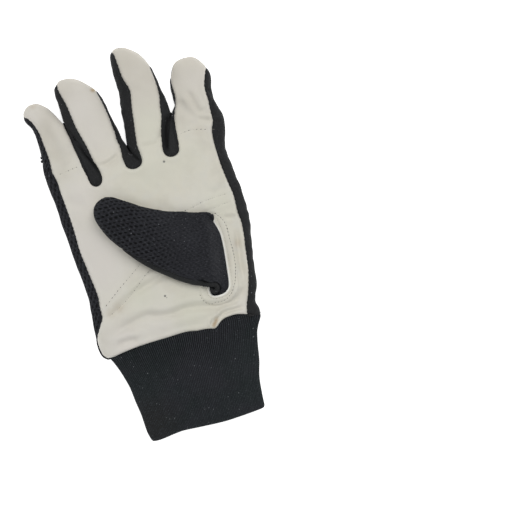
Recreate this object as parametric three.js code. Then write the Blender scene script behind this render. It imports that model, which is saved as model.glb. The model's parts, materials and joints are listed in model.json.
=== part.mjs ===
// A right-hand batting inner glove, lying palm up with its thumb folded over the palm.
// Millimetres. X runs to the thumb side, Y to the fingertips, Z up from the back of the hand.
import * as THREE from "three";

const { clamp, lerp, smoothstep } = THREE.MathUtils;

// Wall thicknesses
const leatherWall = 1.2;
const knitWall = 1.2;
const meshWall = 1.6;
const cuffWall = 2.2;

// Heights of the skin
const equator = 5; // the widest line of every section, and the radius of the lower edges
const palmRise = 9; // top of the palm above the equator
const cuffRise = 7; // the same at the hem of the cuff
const sectionPower = 2.5;
const palmPower = 4;
const crownPower = 1 / 2.2;
const seamGap = 0.3;
const half = seamGap / 2;
const backSeamInset = 3; // how far the strips reach in under the glove
const valleyBlend = 1.5; // rounding of the valley between two fingers
const outsideSlope = 60; // steepness given to the skin beyond its own outline

// The palm from the wrist seam up. A row holds the outline and the leather's two seams at one height.
const palmRows = [
  { y: -58.5, left: -60.5, seamLeft: -60.3, seamRight: 32.2, right: 41 },
  { y: -55, left: -64.2, seamLeft: -63.8, seamRight: 32.6, right: 40.3 },
  { y: -50, left: -65.2, seamLeft: -64.7, seamRight: 33.7, right: 39.2 },
  { y: -44, left: -65.2, seamLeft: -64, seamRight: 35.4, right: 40.3 },
  { y: -36, left: -64.8, seamLeft: -57.8, seamRight: 37.8, right: 43 },
  { y: -30, left: -64.3, seamLeft: -57.2, seamRight: 39.3, right: 44 },
  { y: -20, left: -63.4, seamLeft: -56.9, seamRight: 41, right: 45.2 },
  { y: -5, left: -64.2, seamLeft: -58.3, seamRight: 43, right: 47.7 },
  { y: 8, left: -65.4, seamLeft: -59.8, seamRight: 44.2, right: 50 },
  { y: 20, left: -66.2, seamLeft: -60.4, seamRight: 43.5, right: 49.5 },
  { y: 32, left: -67, seamLeft: -60.8, seamRight: 42, right: 48 },
  { y: 45, left: -68.2, seamLeft: -62, seamRight: 41, right: 47 },
  { y: 60, left: -70.2, seamLeft: -63.3, seamRight: 40.4, right: 48.3 },
  { y: 72, left: -69.6, seamLeft: -64.3, seamRight: 43.4, right: 50.2 },
  { y: 85, left: -69, seamLeft: -65.5, seamRight: 43.6, right: 47.7 },
  { y: 100, left: -72, seamLeft: -69, seamRight: 45.6, right: 49 },
];

// The fingers. cap.from is where a side starts to round in to the tip, cap.power how sharply it does,
// and cap.seamEnd is where the strip on that side runs out.
const fingers = [
  {
    name: "little",
    rise: 6.6,
    tip: { x: -66, y: 110.5 },
    left: { from: 104, power: 0.75, seamEnd: 106 },
    right: { from: 90, power: 0.6, seamEnd: 100 },
    base: { left: 54, right: 54 },
    rows: [
      { y: 52, left: -69, seamLeft: -62.6, seamRight: -42.6, right: -38.4 },
      { y: 60, left: -70.2, seamLeft: -63.3, seamRight: -43.5, right: -39.8 },
      { y: 70, left: -69.8, seamLeft: -64.3, seamRight: -45.4, right: -43.4 },
      { y: 80, left: -69, seamLeft: -65.2, seamRight: -47.6, right: -46.8 },
      { y: 90, left: -69.2, seamLeft: -66, seamRight: -49.8, right: -49.5 },
      { y: 96, left: -70.2, seamLeft: -67.3, seamRight: -51.3, right: -51.2 },
      { y: 100, left: -72.6, seamLeft: -69, seamRight: -53, right: -53 },
      { y: 104, left: -73.5, seamLeft: -71.6, seamRight: -55, right: -55 },
    ],
  },
  {
    name: "ring",
    rise: 7.8,
    tip: { x: -43, y: 121 },
    left: { from: 115, power: 0.7, seamEnd: 119.6 },
    right: { from: 110, power: 0.9, seamEnd: 110.5 },
    base: { left: 54, right: 58 },
    rows: [
      { y: 52, left: -40.5, seamLeft: -34.2, seamRight: -18, right: -12.4 },
      { y: 60, left: -42.6, seamLeft: -35.3, seamRight: -18.5, right: -13 },
      { y: 70, left: -45.4, seamLeft: -37.8, seamRight: -18.2, right: -14.4 },
      { y: 80, left: -47.8, seamLeft: -40, seamRight: -18.9, right: -17.2 },
      { y: 90, left: -49, seamLeft: -42.3, seamRight: -20.3, right: -19.1 },
      { y: 100, left: -49.3, seamLeft: -44, seamRight: -22.1, right: -21 },
      { y: 107, left: -49.9, seamLeft: -45.6, seamRight: -24.2, right: -23.3 },
      { y: 110, left: -50.2, seamLeft: -46.4, seamRight: -25.2, right: -24.8 },
      { y: 115, left: -50, seamLeft: -47.2, seamRight: -26, right: -26 },
    ],
  },
  {
    name: "middle",
    rise: 8,
    tip: { x: -4, y: 131.8 },
    left: { from: 125, power: 0.45, seamEnd: 130.6 },
    right: { from: 115, power: 0.78, seamEnd: 116.5 },
    base: { left: 58, right: 59.5 },
    rows: [
      { y: 52, left: -12.6, seamLeft: -7, seamRight: 7.8, right: 13.2 },
      { y: 62, left: -13, seamLeft: -7, seamRight: 8, right: 13.6 },
      { y: 70, left: -13.8, seamLeft: -7.4, seamRight: 9, right: 15 },
      { y: 80, left: -12.8, seamLeft: -6, seamRight: 11.8, right: 17.8 },
      { y: 90, left: -11.7, seamLeft: -4.8, seamRight: 13.6, right: 17.6 },
      { y: 97, left: -10.5, seamLeft: -3.6, seamRight: 14.6, right: 16.5 },
      { y: 104, left: -9.7, seamLeft: -2.8, seamRight: 14.4, right: 15.5 },
      { y: 112, left: -10.3, seamLeft: -5.2, seamRight: 13.6, right: 14.2 },
      { y: 118, left: -10.4, seamLeft: -6.3, seamRight: 12.6, right: 12.6 },
      { y: 125, left: -10, seamLeft: -6.8, seamRight: 12, right: 12 },
    ],
  },
  {
    name: "index",
    rise: 8,
    tip: { x: 36.5, y: 114.6 },
    left: { from: 104, power: 0.5, seamEnd: 104.5 },
    right: { from: 104, power: 0.5, seamEnd: 106 },
    base: { left: 59.5, right: 60 },
    rows: [
      { y: 52, left: 12.8, seamLeft: 18, seamRight: 40.3, right: 46.8 },
      { y: 60, left: 13, seamLeft: 17.9, seamRight: 40.4, right: 48.3 },
      { y: 70, left: 14.6, seamLeft: 18.6, seamRight: 43.2, right: 50.2 },
      { y: 76, left: 16.5, seamLeft: 19.3, seamRight: 43.5, right: 50 },
      { y: 82, left: 19, seamLeft: 20.6, seamRight: 43.8, right: 48.2 },
      { y: 86, left: 22.2, seamLeft: 22.5, seamRight: 43.6, right: 47.6 },
      { y: 91, left: 22.9, seamLeft: 23.7, seamRight: 43.6, right: 47.5 },
      { y: 96, left: 22.8, seamLeft: 23.9, seamRight: 44.4, right: 48.5 },
      { y: 100, left: 23.1, seamLeft: 23.6, seamRight: 45.7, right: 49.1 },
      { y: 104, left: 24, seamLeft: 24.1, seamRight: 47.6, right: 48.6 },
    ],
  },
];

// Between two fingers the leather ends in a round cut (cut), and the glove itself in a crotch further up.
const gaps = [
  { name: "ring_little", cut: { x: -38.6, rx: 4.6, ry: 5.1 }, crotch: { x: -49.4, y: 92 } },
  { name: "middle_ring", cut: { x: -12.7, rx: 5.6, ry: 4.4 }, crotch: { x: -14.1, y: 69.6 } },
  { name: "index_middle", cut: { x: 13, rx: 5.1, ry: 4.6 }, crotch: { x: 18.1, y: 82.2 } },
];

// The wrist seam on the palm side, and its height on the back
const wristSeam = [
  { x: -61, y: -58.5 },
  { x: -40, y: -56.3 },
  { x: -10, y: -55.3 },
  { x: 3, y: -56.4 },
  { x: 10, y: -58 },
  { x: 16, y: -54.2 },
  { x: 24, y: -52.7 },
  { x: 33, y: -54.6 },
  { x: 41, y: -57 },
];
const backWristSeam = [
  { x: -61, y: -58.5 },
  { x: -52, y: -58 },
  { x: 32, y: -58 },
  { x: 41, y: -57 },
];

// The ribbed cuff from the wrist seam down to the hem
const cuffRows = [
  { y: -118, left: -46.5, right: 26.8 },
  { y: -110, left: -48.6, right: 27.4 },
  { y: -100, left: -50, right: 28.4 },
  { y: -88, left: -50.9, right: 31 },
  { y: -78, left: -52.3, right: 33.1 },
  { y: -68, left: -55.8, right: 35.6 },
  { y: -61, left: -58.8, right: 39 },
  { y: -56, left: -60.4, right: 40.6 },
];
const hem = { leftY: -118, midY: -115.9, rightY: -115.6 };
const ribs = 45;
const ribDepth = 0.5;

// The keyhole that the thumb comes out of. Its left edge is under the thumb.
const keyholeRows = [
  { y: -38.3, left: 18.6, right: 18.6 },
  { y: -37.7, left: 15.2, right: 22.4 },
  { y: -35.6, left: 13.4, right: 25.5 },
  { y: -31, left: 13.6, right: 26.7 },
  { y: -20, left: 14.8, right: 28 },
  { y: -8, left: 17, right: 29.1 },
  { y: 1, left: 19.8, right: 28.8 },
  { y: 7, left: 23, right: 27.6 },
  { y: 12.5, left: 27.4, right: 27.4 },
];
const rimWidth = 5.4;
const rimWall = 1;

// The folded thumb: its two edges from the keyhole to the tip, both ending at the same point
const thumbUpper = [
  [27.4, 12.5], [24.5, 15.2], [15, 17.5], [0, 22.3], [-14, 29.5], [-28, 38.3],
  [-35, 40.8], [-41.5, 38.3], [-45, 32],
];
const thumbLower = [
  [13.6, -31], [5, -27.6], [-10, -18.2], [-25, -4.2], [-35, 8], [-43, 21], [-45, 32],
];
const thumbSeamZ = 17; // height of the thumb's side seams once it is clear of the keyhole
const thumbRise = 6.5;
const thumbRootInset = 0.8; // keeps its root clear of the keyhole's edge
const thumbStripWidth = 2.6;
const thumbStripUnder = 1.6;
const tuckRadius = 1.9;
const thumbStripWall = 0.9;
const tuck = [
  { x: 21.4, y: -35.5, z: 11.6 },
  { x: 19, y: -35.3, z: 13 },
  { x: 16.8, y: -34.2, z: 15.4 },
  { x: 13.6, y: -32.4, z: 16.9 },
];

// Broad soft hollows and ridges in the leather: centre, direction, half length, half width and height
const folds = [
  { x: -6, y: 6, angle: 145, length: 46, width: 24, height: -1.8 }, // pressed in under the thumb
  { x: -20, y: -42, angle: 6, length: 34, width: 5, height: 1.2 }, // roll of leather over the wrist seam
  { x: -34, y: -27, angle: 36, length: 24, width: 4, height: -0.9 },
  { x: 37, y: -8, angle: 86, length: 26, width: 3, height: -1 },
  { x: 34, y: 84, angle: 112, length: 9, width: 3.5, height: -1.1 },
  { x: -61, y: 90, angle: 96, length: 15, width: 3, height: -0.8 },
];

// The value of a named column at y, on a smooth curve through the rows that never overshoots them
function column(rows, name, y, key = "y") {
  const last = rows.length - 1;
  if (y <= rows[0][key]) return rows[0][name];
  if (y >= rows[last][key]) return rows[last][name];
  const i = rows.findIndex((row) => row[key] > y) - 1;
  const slope = (k) => (rows[k + 1][name] - rows[k][name]) / (rows[k + 1][key] - rows[k][key]);
  const tangent = (k) => {
    if (k === 0) return slope(0);
    if (k === last) return slope(last - 1);
    return slope(k - 1) * slope(k) <= 0 ? 0 : (slope(k - 1) + slope(k)) / 2;
  };
  const h = rows[i + 1][key] - rows[i][key];
  const t = (y - rows[i][key]) / h;
  const t2 = t * t;
  const t3 = t2 * t;
  return (
    (2 * t3 - 3 * t2 + 1) * rows[i][name] +
    (t3 - 2 * t2 + t) * h * tangent(i) +
    (3 * t2 - 2 * t3) * rows[i + 1][name] +
    (t3 - t2) * h * tangent(i + 1)
  );
}

// The outline of a finger: the table as far as the cap, then a rounded end
function fingerSide(finger, side, y) {
  const { from, power } = finger[side];
  if (y <= from) return column(finger.rows, side, y);
  const start = column(finger.rows, side, from);
  const t = clamp((y - from) / (finger.tip.y - from), 0, 1);
  return lerp(finger.tip.x, start, Math.pow(1 - t * t, power));
}

// The leather's seam on a finger, which runs out into the outline at seamEnd
function fingerSeam(finger, side, y) {
  const outline = fingerSide(finger, side, y);
  const name = side === "left" ? "seamLeft" : "seamRight";
  const runOut = smoothstep(finger[side].seamEnd - y, 0, 4);
  const inset = Math.abs(column(finger.rows, name, y) - outline) * runOut;
  return side === "left" ? outline + inset : outline - inset;
}

const tipLength = 11;

// Height of one finger over the equator; negative outside its outline
function fingerRise(finger, x, y) {
  if (y >= finger.tip.y) return -outsideSlope * (y - finger.tip.y + Math.abs(x - finger.tip.x) / 2);
  const left = fingerSide(finger, "left", y);
  const right = fingerSide(finger, "right", y);
  const wide = (right - left) / 2;
  const u = Math.abs(x - (left + right) / 2) / wide;
  if (u > 1) return -outsideSlope * wide * (u - 1);
  const t = clamp((y - finger.tip.y + tipLength) / tipLength, 0, 1);
  const root = lerp(0.5, 1, smoothstep(y, 25, 56));
  return finger.rise * root * Math.sqrt(1 - t * t) * Math.pow(1 - Math.pow(u, sectionPower), crownPower);
}

// Where the palm starts to fall away between the fingers, and where it has reached the equator
const web = [
  { x: -66, start: 46, end: 97 },
  { x: -38.6, start: 48.7, end: 86 },
  { x: -14.1, start: 53.5, end: 69.6 },
  { x: 15, start: 54.9, end: 80.5 },
  { x: 18.1, start: 55, end: 82.2 },
  { x: 47, start: 56, end: 86 },
];

function palmHeight(x, y) {
  const left = column(palmRows, "left", y);
  const right = column(palmRows, "right", y);
  const wide = (right - left) / 2;
  const u = Math.abs(x - (left + right) / 2) / wide;
  if (u > 1) return -outsideSlope * wide * (u - 1);
  const start = column(web, "start", x, "x");
  const end = column(web, "end", x, "x");
  if (y > end) return -outsideSlope * (y - end);
  const t = clamp((y - start) / (end - start), 0, 1);
  const fall = 1 - Math.pow(t, 1.4);
  const rise = lerp(cuffRise + 0.8, palmRise, smoothstep(y, -58, -25));
  return rise * fall * Math.pow(1 - Math.pow(u, palmPower), crownPower);
}

function foldHeight(x, y) {
  return folds.reduce((sum, fold) => {
    const a = THREE.MathUtils.degToRad(fold.angle);
    const along = ((x - fold.x) * Math.cos(a) + (y - fold.y) * Math.sin(a)) / fold.length;
    const across = (-(x - fold.x) * Math.sin(a) + (y - fold.y) * Math.cos(a)) / fold.width;
    return sum + fold.height * Math.exp(-along * along * along * along - across * across);
  }, 0);
}

// The upper skin: the higher of the palm and the fingers, rounded where they meet, with the folds on it
function topZ(x, y) {
  const finger = Math.max(...fingers.map((f) => fingerRise(f, x, y)));
  const palm = palmHeight(x, y);
  const high = Math.max(finger, palm);
  const e = valleyBlend * clamp(high / 3, 0, 1);
  const rise = (finger + palm + Math.sqrt((finger - palm) ** 2 + e * e)) / 2;
  return equator + half + rise + foldHeight(x, y) * clamp(rise / 6, 0, 1);
}

// The lower skin: flat on the surface it lies on, with round edges up to the equator
function bottomZ(x, y) {
  const inside = (left, right) => Math.min(x - left, right - x);
  const depths = fingers.map((f) =>
    y >= f.tip.y ? f.tip.y - y : inside(fingerSide(f, "left", y), fingerSide(f, "right", y)),
  );
  const palm = Math.min(
    inside(column(palmRows, "left", y), column(palmRows, "right", y)),
    column(web, "end", x, "x") - y,
  );
  const depth = Math.max(palm, ...depths);
  if (depth < 0) return equator - half - outsideSlope * depth;
  const t = 1 - Math.min(depth, equator) / equator;
  return (equator - half) * (1 - Math.sqrt(1 - t * t));
}

// A point of the skin over a place in plan, with its outward normal
function skin(x, y, face) {
  const height = face === "top" ? topZ : bottomZ;
  const up = face === "top" ? 1 : -1;
  const step = 0.12;
  const dx = (height(x + step, y) - height(x - step, y)) / (2 * step);
  const dy = (height(x, y + step) - height(x, y - step)) / (2 * step);
  return {
    p: new THREE.Vector3(x, y, equator + up * Math.max(up * (height(x, y) - equator), half)),
    n: new THREE.Vector3(-dx * up, -dy * up, up).normalize(),
  };
}

// Closes a set of skin grids into one body of the given wall. Each grid is rows of {p, n}; grids that share
// edge points are joined there, and every open edge gets a rim.
function walled(grids, wall) {
  const index = new Map();
  const points = [];
  const key = (p) => [p.x, p.y, p.z].map((v) => Math.round(v * 500)).join();
  const idOf = (point) => {
    const k = key(point.p);
    if (!index.has(k)) {
      index.set(k, points.length);
      points.push(point);
    }
    return index.get(k);
  };
  const outer = [];
  for (const grid of grids) {
    const quads = [];
    for (let i = 0; i + 1 < grid.length; i++)
      for (let j = 0; j + 1 < grid[i].length; j++)
        quads.push([grid[i][j], grid[i][j + 1], grid[i + 1][j + 1], grid[i + 1][j]]);
    const facing = quads.reduce((sum, [a, b, c, d]) => {
      const cross = c.p.clone().sub(a.p).cross(d.p.clone().sub(b.p));
      return sum + cross.dot(a.n);
    }, 0);
    for (const quad of quads) {
      const ids = quad.map(idOf);
      if (facing < 0) ids.reverse();
      for (const tri of [[ids[0], ids[1], ids[2]], [ids[0], ids[2], ids[3]]])
        if (new Set(tri).size === 3) outer.push(tri);
    }
  }
  const edges = new Map();
  for (const [a, b, c] of outer)
    for (const [from, to] of [[a, b], [b, c], [c, a]]) {
      const back = to + "," + from;
      if (edges.has(back)) edges.delete(back);
      else edges.set(from + "," + to, [from, to]);
    }
  const count = points.length;
  const position = points.flatMap(({ p }) => p.toArray());
  for (const { p, n } of points) position.push(...p.clone().addScaledVector(n, -wall).toArray());
  const triangles = [...outer, ...outer.map(([a, b, c]) => [a + count, c + count, b + count])];
  for (const [from, to] of edges.values())
    triangles.push([to, from, from + count], [to, from + count, to + count]);
  const geometry = new THREE.BufferGeometry();
  geometry.setAttribute("position", new THREE.Float32BufferAttribute(position, 3));
  geometry.setIndex(triangles.flat());
  geometry.computeVertexNormals();
  return geometry;
}

const wristY = (x, face) => column(face === "top" ? wristSeam : backWristSeam, "y", x, "x");

// A seam edge of the leather, drawn in by half a seam gap where a strip shows beside it
function leatherEdge(rows, side, y, finger) {
  const name = side === "left" ? "seamLeft" : "seamRight";
  const seam = finger ? fingerSeam(finger, side, y) : column(rows, name, y);
  const outline = finger ? fingerSide(finger, side, y) : column(rows, side, y);
  const inset = half * clamp(Math.abs(seam - outline), 0, 1);
  return side === "left" ? seam + inset : seam - inset;
}

const palmLevels = [-50, -44, -38.3, -37.7, -35.6, -31, -20, -8, 1, 7, 12.5, 24, 36, 45];
const sideLevels = [-50, -44, -37.7, -31, -20, -8, 1, 12.5, 24, 36, 45];
const fingerSteps = [0, 0.16, 0.33, 0.5, 0.64, 0.76, 0.86, 0.93, 0.98];
const fingerLevels = (finger, side) =>
  fingerSteps.map((step) => lerp(finger.base[side], finger.tip.y - 0.02, step));
const leatherShares = [0, 0.14, 0.36, 0.64, 0.86, 1];
const cutSteps = [0.17, 0.36, 0.64, 0.83]; // along each round cut
const splitShare = 2; // the index finger column that runs down to the keyhole

// The points of the palm's upper edge, finger bases and round cuts in turn, from the little finger side
function leatherTopRow() {
  return fingers.flatMap((finger, k) => {
    const left = leatherEdge(null, "left", finger.base.left, finger);
    const right = leatherEdge(null, "right", finger.base.right, finger);
    const base = leatherShares.map((share) => ({
      x: lerp(left, right, share),
      y: lerp(finger.base.left, finger.base.right, share),
    }));
    if (k === gaps.length) return base;
    const from = base[base.length - 1];
    const next = fingers[k + 1];
    const to = { x: leatherEdge(null, "left", next.base.left, next), y: next.base.left };
    const cut = cutSteps.map((share) => ({
      x: lerp(from.x, to.x, (1 - Math.cos(Math.PI * share)) / 2),
      y: lerp(from.y, to.y, share) - (gaps[k].cut.ry + half) * Math.sin(Math.PI * share),
    }));
    return [...base, ...cut];
  });
}

// The x of the line that the keyhole lies on, from the wrist seam to the index finger's base
function keyholeLine(y, top) {
  if (y < keyholeRows[0].y) return lerp(17, keyholeRows[0].left, smoothstep(y, -54, keyholeRows[0].y));
  const last = keyholeRows[keyholeRows.length - 1];
  return lerp(last.left, top.x, smoothstep(y, last.y, top.y));
}

function palmLeather() {
  const top = leatherTopRow();
  const split = top.length - leatherShares.length + splitShare;
  const inKeyhole = (y) => y > keyholeRows[0].y && y < keyholeRows[keyholeRows.length - 1].y;
  const edge = (y, side) =>
    inKeyhole(y) ? column(keyholeRows, side, y) : keyholeLine(y, top[split]);
  const block = (first, last, low, high) => {
    const shares = top
      .slice(first, last + 1)
      .map(({ x, y }) => (x - low(y)) / (high(y) - low(y)));
    const row = (level) =>
      shares.map((share, j) => {
        const y = level(top[first + j], share);
        return skin(lerp(low(y), high(y), share), y, "top");
      });
    const seamRow = shares.map((share) => {
      const x = lerp(low(-55), high(-55), share);
      const y = wristY(x, "top") + half;
      return skin(lerp(low(y), high(y), share), y, "top");
    });
    return [seamRow, ...palmLevels.map((y) => row(() => y)), row((point) => point.y)];
  };
  const left = (y) => leatherEdge(palmRows, "left", y);
  const right = (y) => leatherEdge(palmRows, "right", y);
  const blocks = [
    block(0, split, left, (y) => edge(y, "left")),
    block(split, top.length - 1, (y) => edge(y, "right"), right),
  ];
  const fingerBlocks = fingers.map((finger) =>
    [...fingerSteps, 1].map((step) => {
      const tipY = finger.tip.y - 0.02;
      const lowY = lerp(finger.base.left, tipY, step);
      const highY = lerp(finger.base.right, tipY, step);
      const from = leatherEdge(null, "left", lowY, finger);
      const to = leatherEdge(null, "right", highY, finger);
      return leatherShares.map((share) => skin(lerp(from, to, share), lerp(lowY, highY, share), "top"));
    }),
  );
  return walled([...blocks, ...fingerBlocks], leatherWall);
}

// A strip that wraps round the side of the glove, from the leather's seam over the outline to the seam of
// the back. Each station gives those three places in plan.
function wrap(stations, columns) {
  return stations.map(({ seam, outline, under, radius, bend }) => {
    const over = Math.hypot(seam.x - outline.x, seam.y - outline.y);
    const below = Math.hypot(under.x - outline.x, under.y - outline.y);
    const overAngle = Math.acos(clamp(1 - over / radius, 0, 1));
    const belowAngle = Math.acos(clamp(1 - below / equator, 0, 1));
    return columns.map((share) => {
      const angle = share < 0.5 ? overAngle * (1 - 2 * share) : -belowAngle * (2 * share - 1);
      const reach = angle >= 0 ? over : below;
      const target = angle >= 0 ? seam : under;
      const r = angle >= 0 ? Math.max(radius, over) : equator;
      const t = reach > 1e-6 ? Math.min(1, (r * (1 - Math.cos(angle))) / reach) : 0;
      const face = angle >= 0 ? "top" : "bottom";
      const x = lerp(outline.x, target.x, t);
      return skin(x, bend ? bend(x, face) : lerp(outline.y, target.y, t), face);
    });
  });
}

const place = (x, y) => ({ x, y });

function crotchStation(k, seam, t) {
  return { seam, outline: crotchPoint(k, t, 0), under: crotchPoint(k, t, backSeamInset - half), radius: 14 };
}

// One side of a finger as a station of a strip
function fingerStation(finger, side, y) {
  const out = side === "left" ? -1 : 1;
  const outline = fingerSide(finger, side, y);
  const seam = fingerSeam(finger, side, y);
  const runOut = smoothstep(finger[side].seamEnd - y, 0, 4);
  const gapShare = clamp(Math.abs(seam - outline), 0, 1);
  return {
    seam: place(seam + out * half * gapShare, y),
    outline: place(outline, y),
    under: place(outline - out * (backSeamInset * runOut - half * runOut), y),
    radius: (fingerSide(finger, "right", y) - fingerSide(finger, "left", y)) / 2,
  };
}

// The edges of the back and of the strips round a crotch, t from the left finger to the right one
function crotchPoint(k, t, reach) {
  const { crotch } = gaps[k];
  const angle = Math.PI * (1 + t);
  const y = crotch.y + 2;
  const from = fingerSide(fingers[k], "right", y);
  const to = fingerSide(fingers[k + 1], "left", y);
  const bow = 4 * t * (1 - t);
  const open = Math.max(to - from, 0.2);
  const mid = (from + to) / 2;
  return place(
    mid + open * (t - 0.5) + reach * Math.cos(angle),
    y - 1.4 * bow + reach * Math.sin(angle),
  );
}

const stripColumns = [0, 0.17, 0.34, 0.49, 0.66, 0.83, 1];

function fourchette(k) {
  const { cut, crotch } = gaps[k];
  const splitY = crotch.y + 2;
  const arm = (finger, side, atLeft) => {
    const out = side === "left" ? -1 : 1;
    const base = finger.base[side];
    const end = Math.min(finger[side].seamEnd, finger.tip.y) - 1.2;
    const levels = fingerLevels(finger, side).filter((y) => Math.abs(y - splitY) > 1.5 && y < end - 1);
    return [...levels, splitY, end]
      .sort((p, q) => q - p)
      .map((y) => {
        if (y >= splitY) return fingerStation(finger, side, y);
        const share = (0.3 * (splitY - y)) / (splitY - base);
        const seam = place(fingerSeam(finger, side, y) + out * half, y);
        return crotchStation(k, seam, atLeft ? share : 1 - share);
      });
  };
  const left = arm(fingers[k], "right", true);
  const right = arm(fingers[k + 1], "left", false);
  const start = left[left.length - 1].seam;
  const end = right[right.length - 1].seam;
  const round = cutSteps.map((share) => {
    const seam = place(
      lerp(start.x, end.x, (1 - Math.cos(Math.PI * share)) / 2),
      lerp(start.y, end.y, share) - (cut.ry - half) * Math.sin(Math.PI * share),
    );
    return crotchStation(k, seam, lerp(0.3, 0.7, share));
  });
  return walled([wrap([...left, ...round, ...right.reverse()], stripColumns)], knitWall);
}

function palmStation(side, y) {
  const out = side === "left" ? -1 : 1;
  const outline = column(palmRows, side, y);
  const seam = column(palmRows, side === "left" ? "seamLeft" : "seamRight", y);
  return {
    seam: place(seam + out * seamGap, y),
    outline: place(outline, y),
    under: place(outline - out * (backSeamInset - half), y),
    radius: 14,
  };
}

const atWrist = (station) => ({ ...station, bend: (x, face) => wristY(x, face) + half });

function indexSideStrip() {
  const index = fingers[3];
  const end = index.right.seamEnd - 1.2;
  const wrist = atWrist(palmStation("right", -57));
  const palmPart = sideLevels.map((y) => palmStation("right", y));
  const fingerPart = [...fingerLevels(index, "right").filter((y) => y < end - 1), end].map((y) =>
    fingerStation(index, "right", y),
  );
  return walled([wrap([wrist, ...palmPart, ...fingerPart], stripColumns)], knitWall);
}

// The back of the glove. On the little finger side it wraps up to the leather. Elsewhere it ends at the
// strips.
const backGap = 0.6;
const backShares = [0, 0.16, 0.5, 0.84, 1];
const backCutSteps = [0.15, 0.35, 0.65, 0.85];
const outerSplitY = 80; // where the palm's part of the back ends on the two outer sides
const backStart = (k) => ({
  left: k === 0 ? outerSplitY : gaps[k - 1].crotch.y + 2,
  right: k === gaps.length ? outerSplitY : gaps[k].crotch.y + 2,
});

function backEdge(finger, side, y) {
  const runOut = smoothstep(finger[side].seamEnd - y, 0, 4);
  const outline = fingerSide(finger, side, y);
  const wrapsUp = finger === fingers[0] && side === "left";
  const inset = wrapsUp ? equator * clamp((108 - y) / 6, 0, 1) : (backSeamInset - half + backGap) * runOut;
  return side === "left" ? outline + inset : outline - inset;
}

function backTopRow() {
  return fingers.flatMap((finger, k) => {
    const start = backStart(k);
    const left = backEdge(finger, "left", start.left);
    const right = backEdge(finger, "right", start.right);
    const base = backShares.map((share) =>
      place(lerp(left, right, share), lerp(start.left, start.right, share)),
    );
    if (k === gaps.length) return base;
    return [...base, ...backCutSteps.map((t) => crotchPoint(k, t, backSeamInset - half + backGap))];
  });
}

const wrapShares = [0, 0.25, 0.49, 0.66, 0.83];

function backMesh() {
  const top = backTopRow();
  const sheetLeft = (y) => column(palmRows, "left", y) + equator;
  const sheetRight = (y) => column(palmRows, "right", y) - backSeamInset + half - backGap;
  const shares = top.map(({ x }) => (x - top[0].x) / (top[top.length - 1].x - top[0].x));
  const wrapped = (station) =>
    wrap([{ ...station, under: place(station.outline.x + equator, station.outline.y) }], wrapShares)[0];
  const across = (y) => shares.map((share) => lerp(sheetLeft(y), sheetRight(y), share));
  const sheetRow = (y) => [
    ...wrapped(palmStation("left", y)),
    ...across(y).map((x) => skin(x, y, "bottom")),
  ];
  const wristRow = [
    ...wrapped(atWrist(palmStation("left", -58))),
    ...across(-58).map((x) => skin(x, wristY(x, "bottom") + half, "bottom")),
  ];
  const topRow = [
    ...wrapped(fingerStation(fingers[0], "left", outerSplitY)),
    ...top.map(({ x, y }) => skin(x, y, "bottom")),
  ];
  const palmBlock = [wristRow, ...sideLevels.map(sheetRow), topRow];
  const fingerBlocks = fingers.map((finger, k) => {
    const start = backStart(k);
    const lefts = fingerLevels(finger, "left");
    const rights = fingerLevels(finger, "right");
    const clear = lefts.findIndex((y, i) => y > start.left + 1.5 && rights[i] > start.right + 1.5);
    const tipY = finger.tip.y - 0.02;
    const levels = lefts.map((y, i) => [y, rights[i]]).slice(clear);
    return [[start.left, start.right], ...levels, [tipY, tipY]].map(([lowY, highY]) => {
      const from = backEdge(finger, "left", lowY);
      const to = backEdge(finger, "right", highY);
      const sheet = backShares.map((share) =>
        skin(lerp(from, to, share), lerp(lowY, highY, share), "bottom"),
      );
      if (k > 0) return sheet;
      const station = fingerStation(finger, "left", lowY);
      return [...wrap([{ ...station, under: place(from, lowY) }], wrapShares)[0], ...sheet];
    });
  });
  return walled([palmBlock, ...fingerBlocks], meshWall);
}

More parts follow.
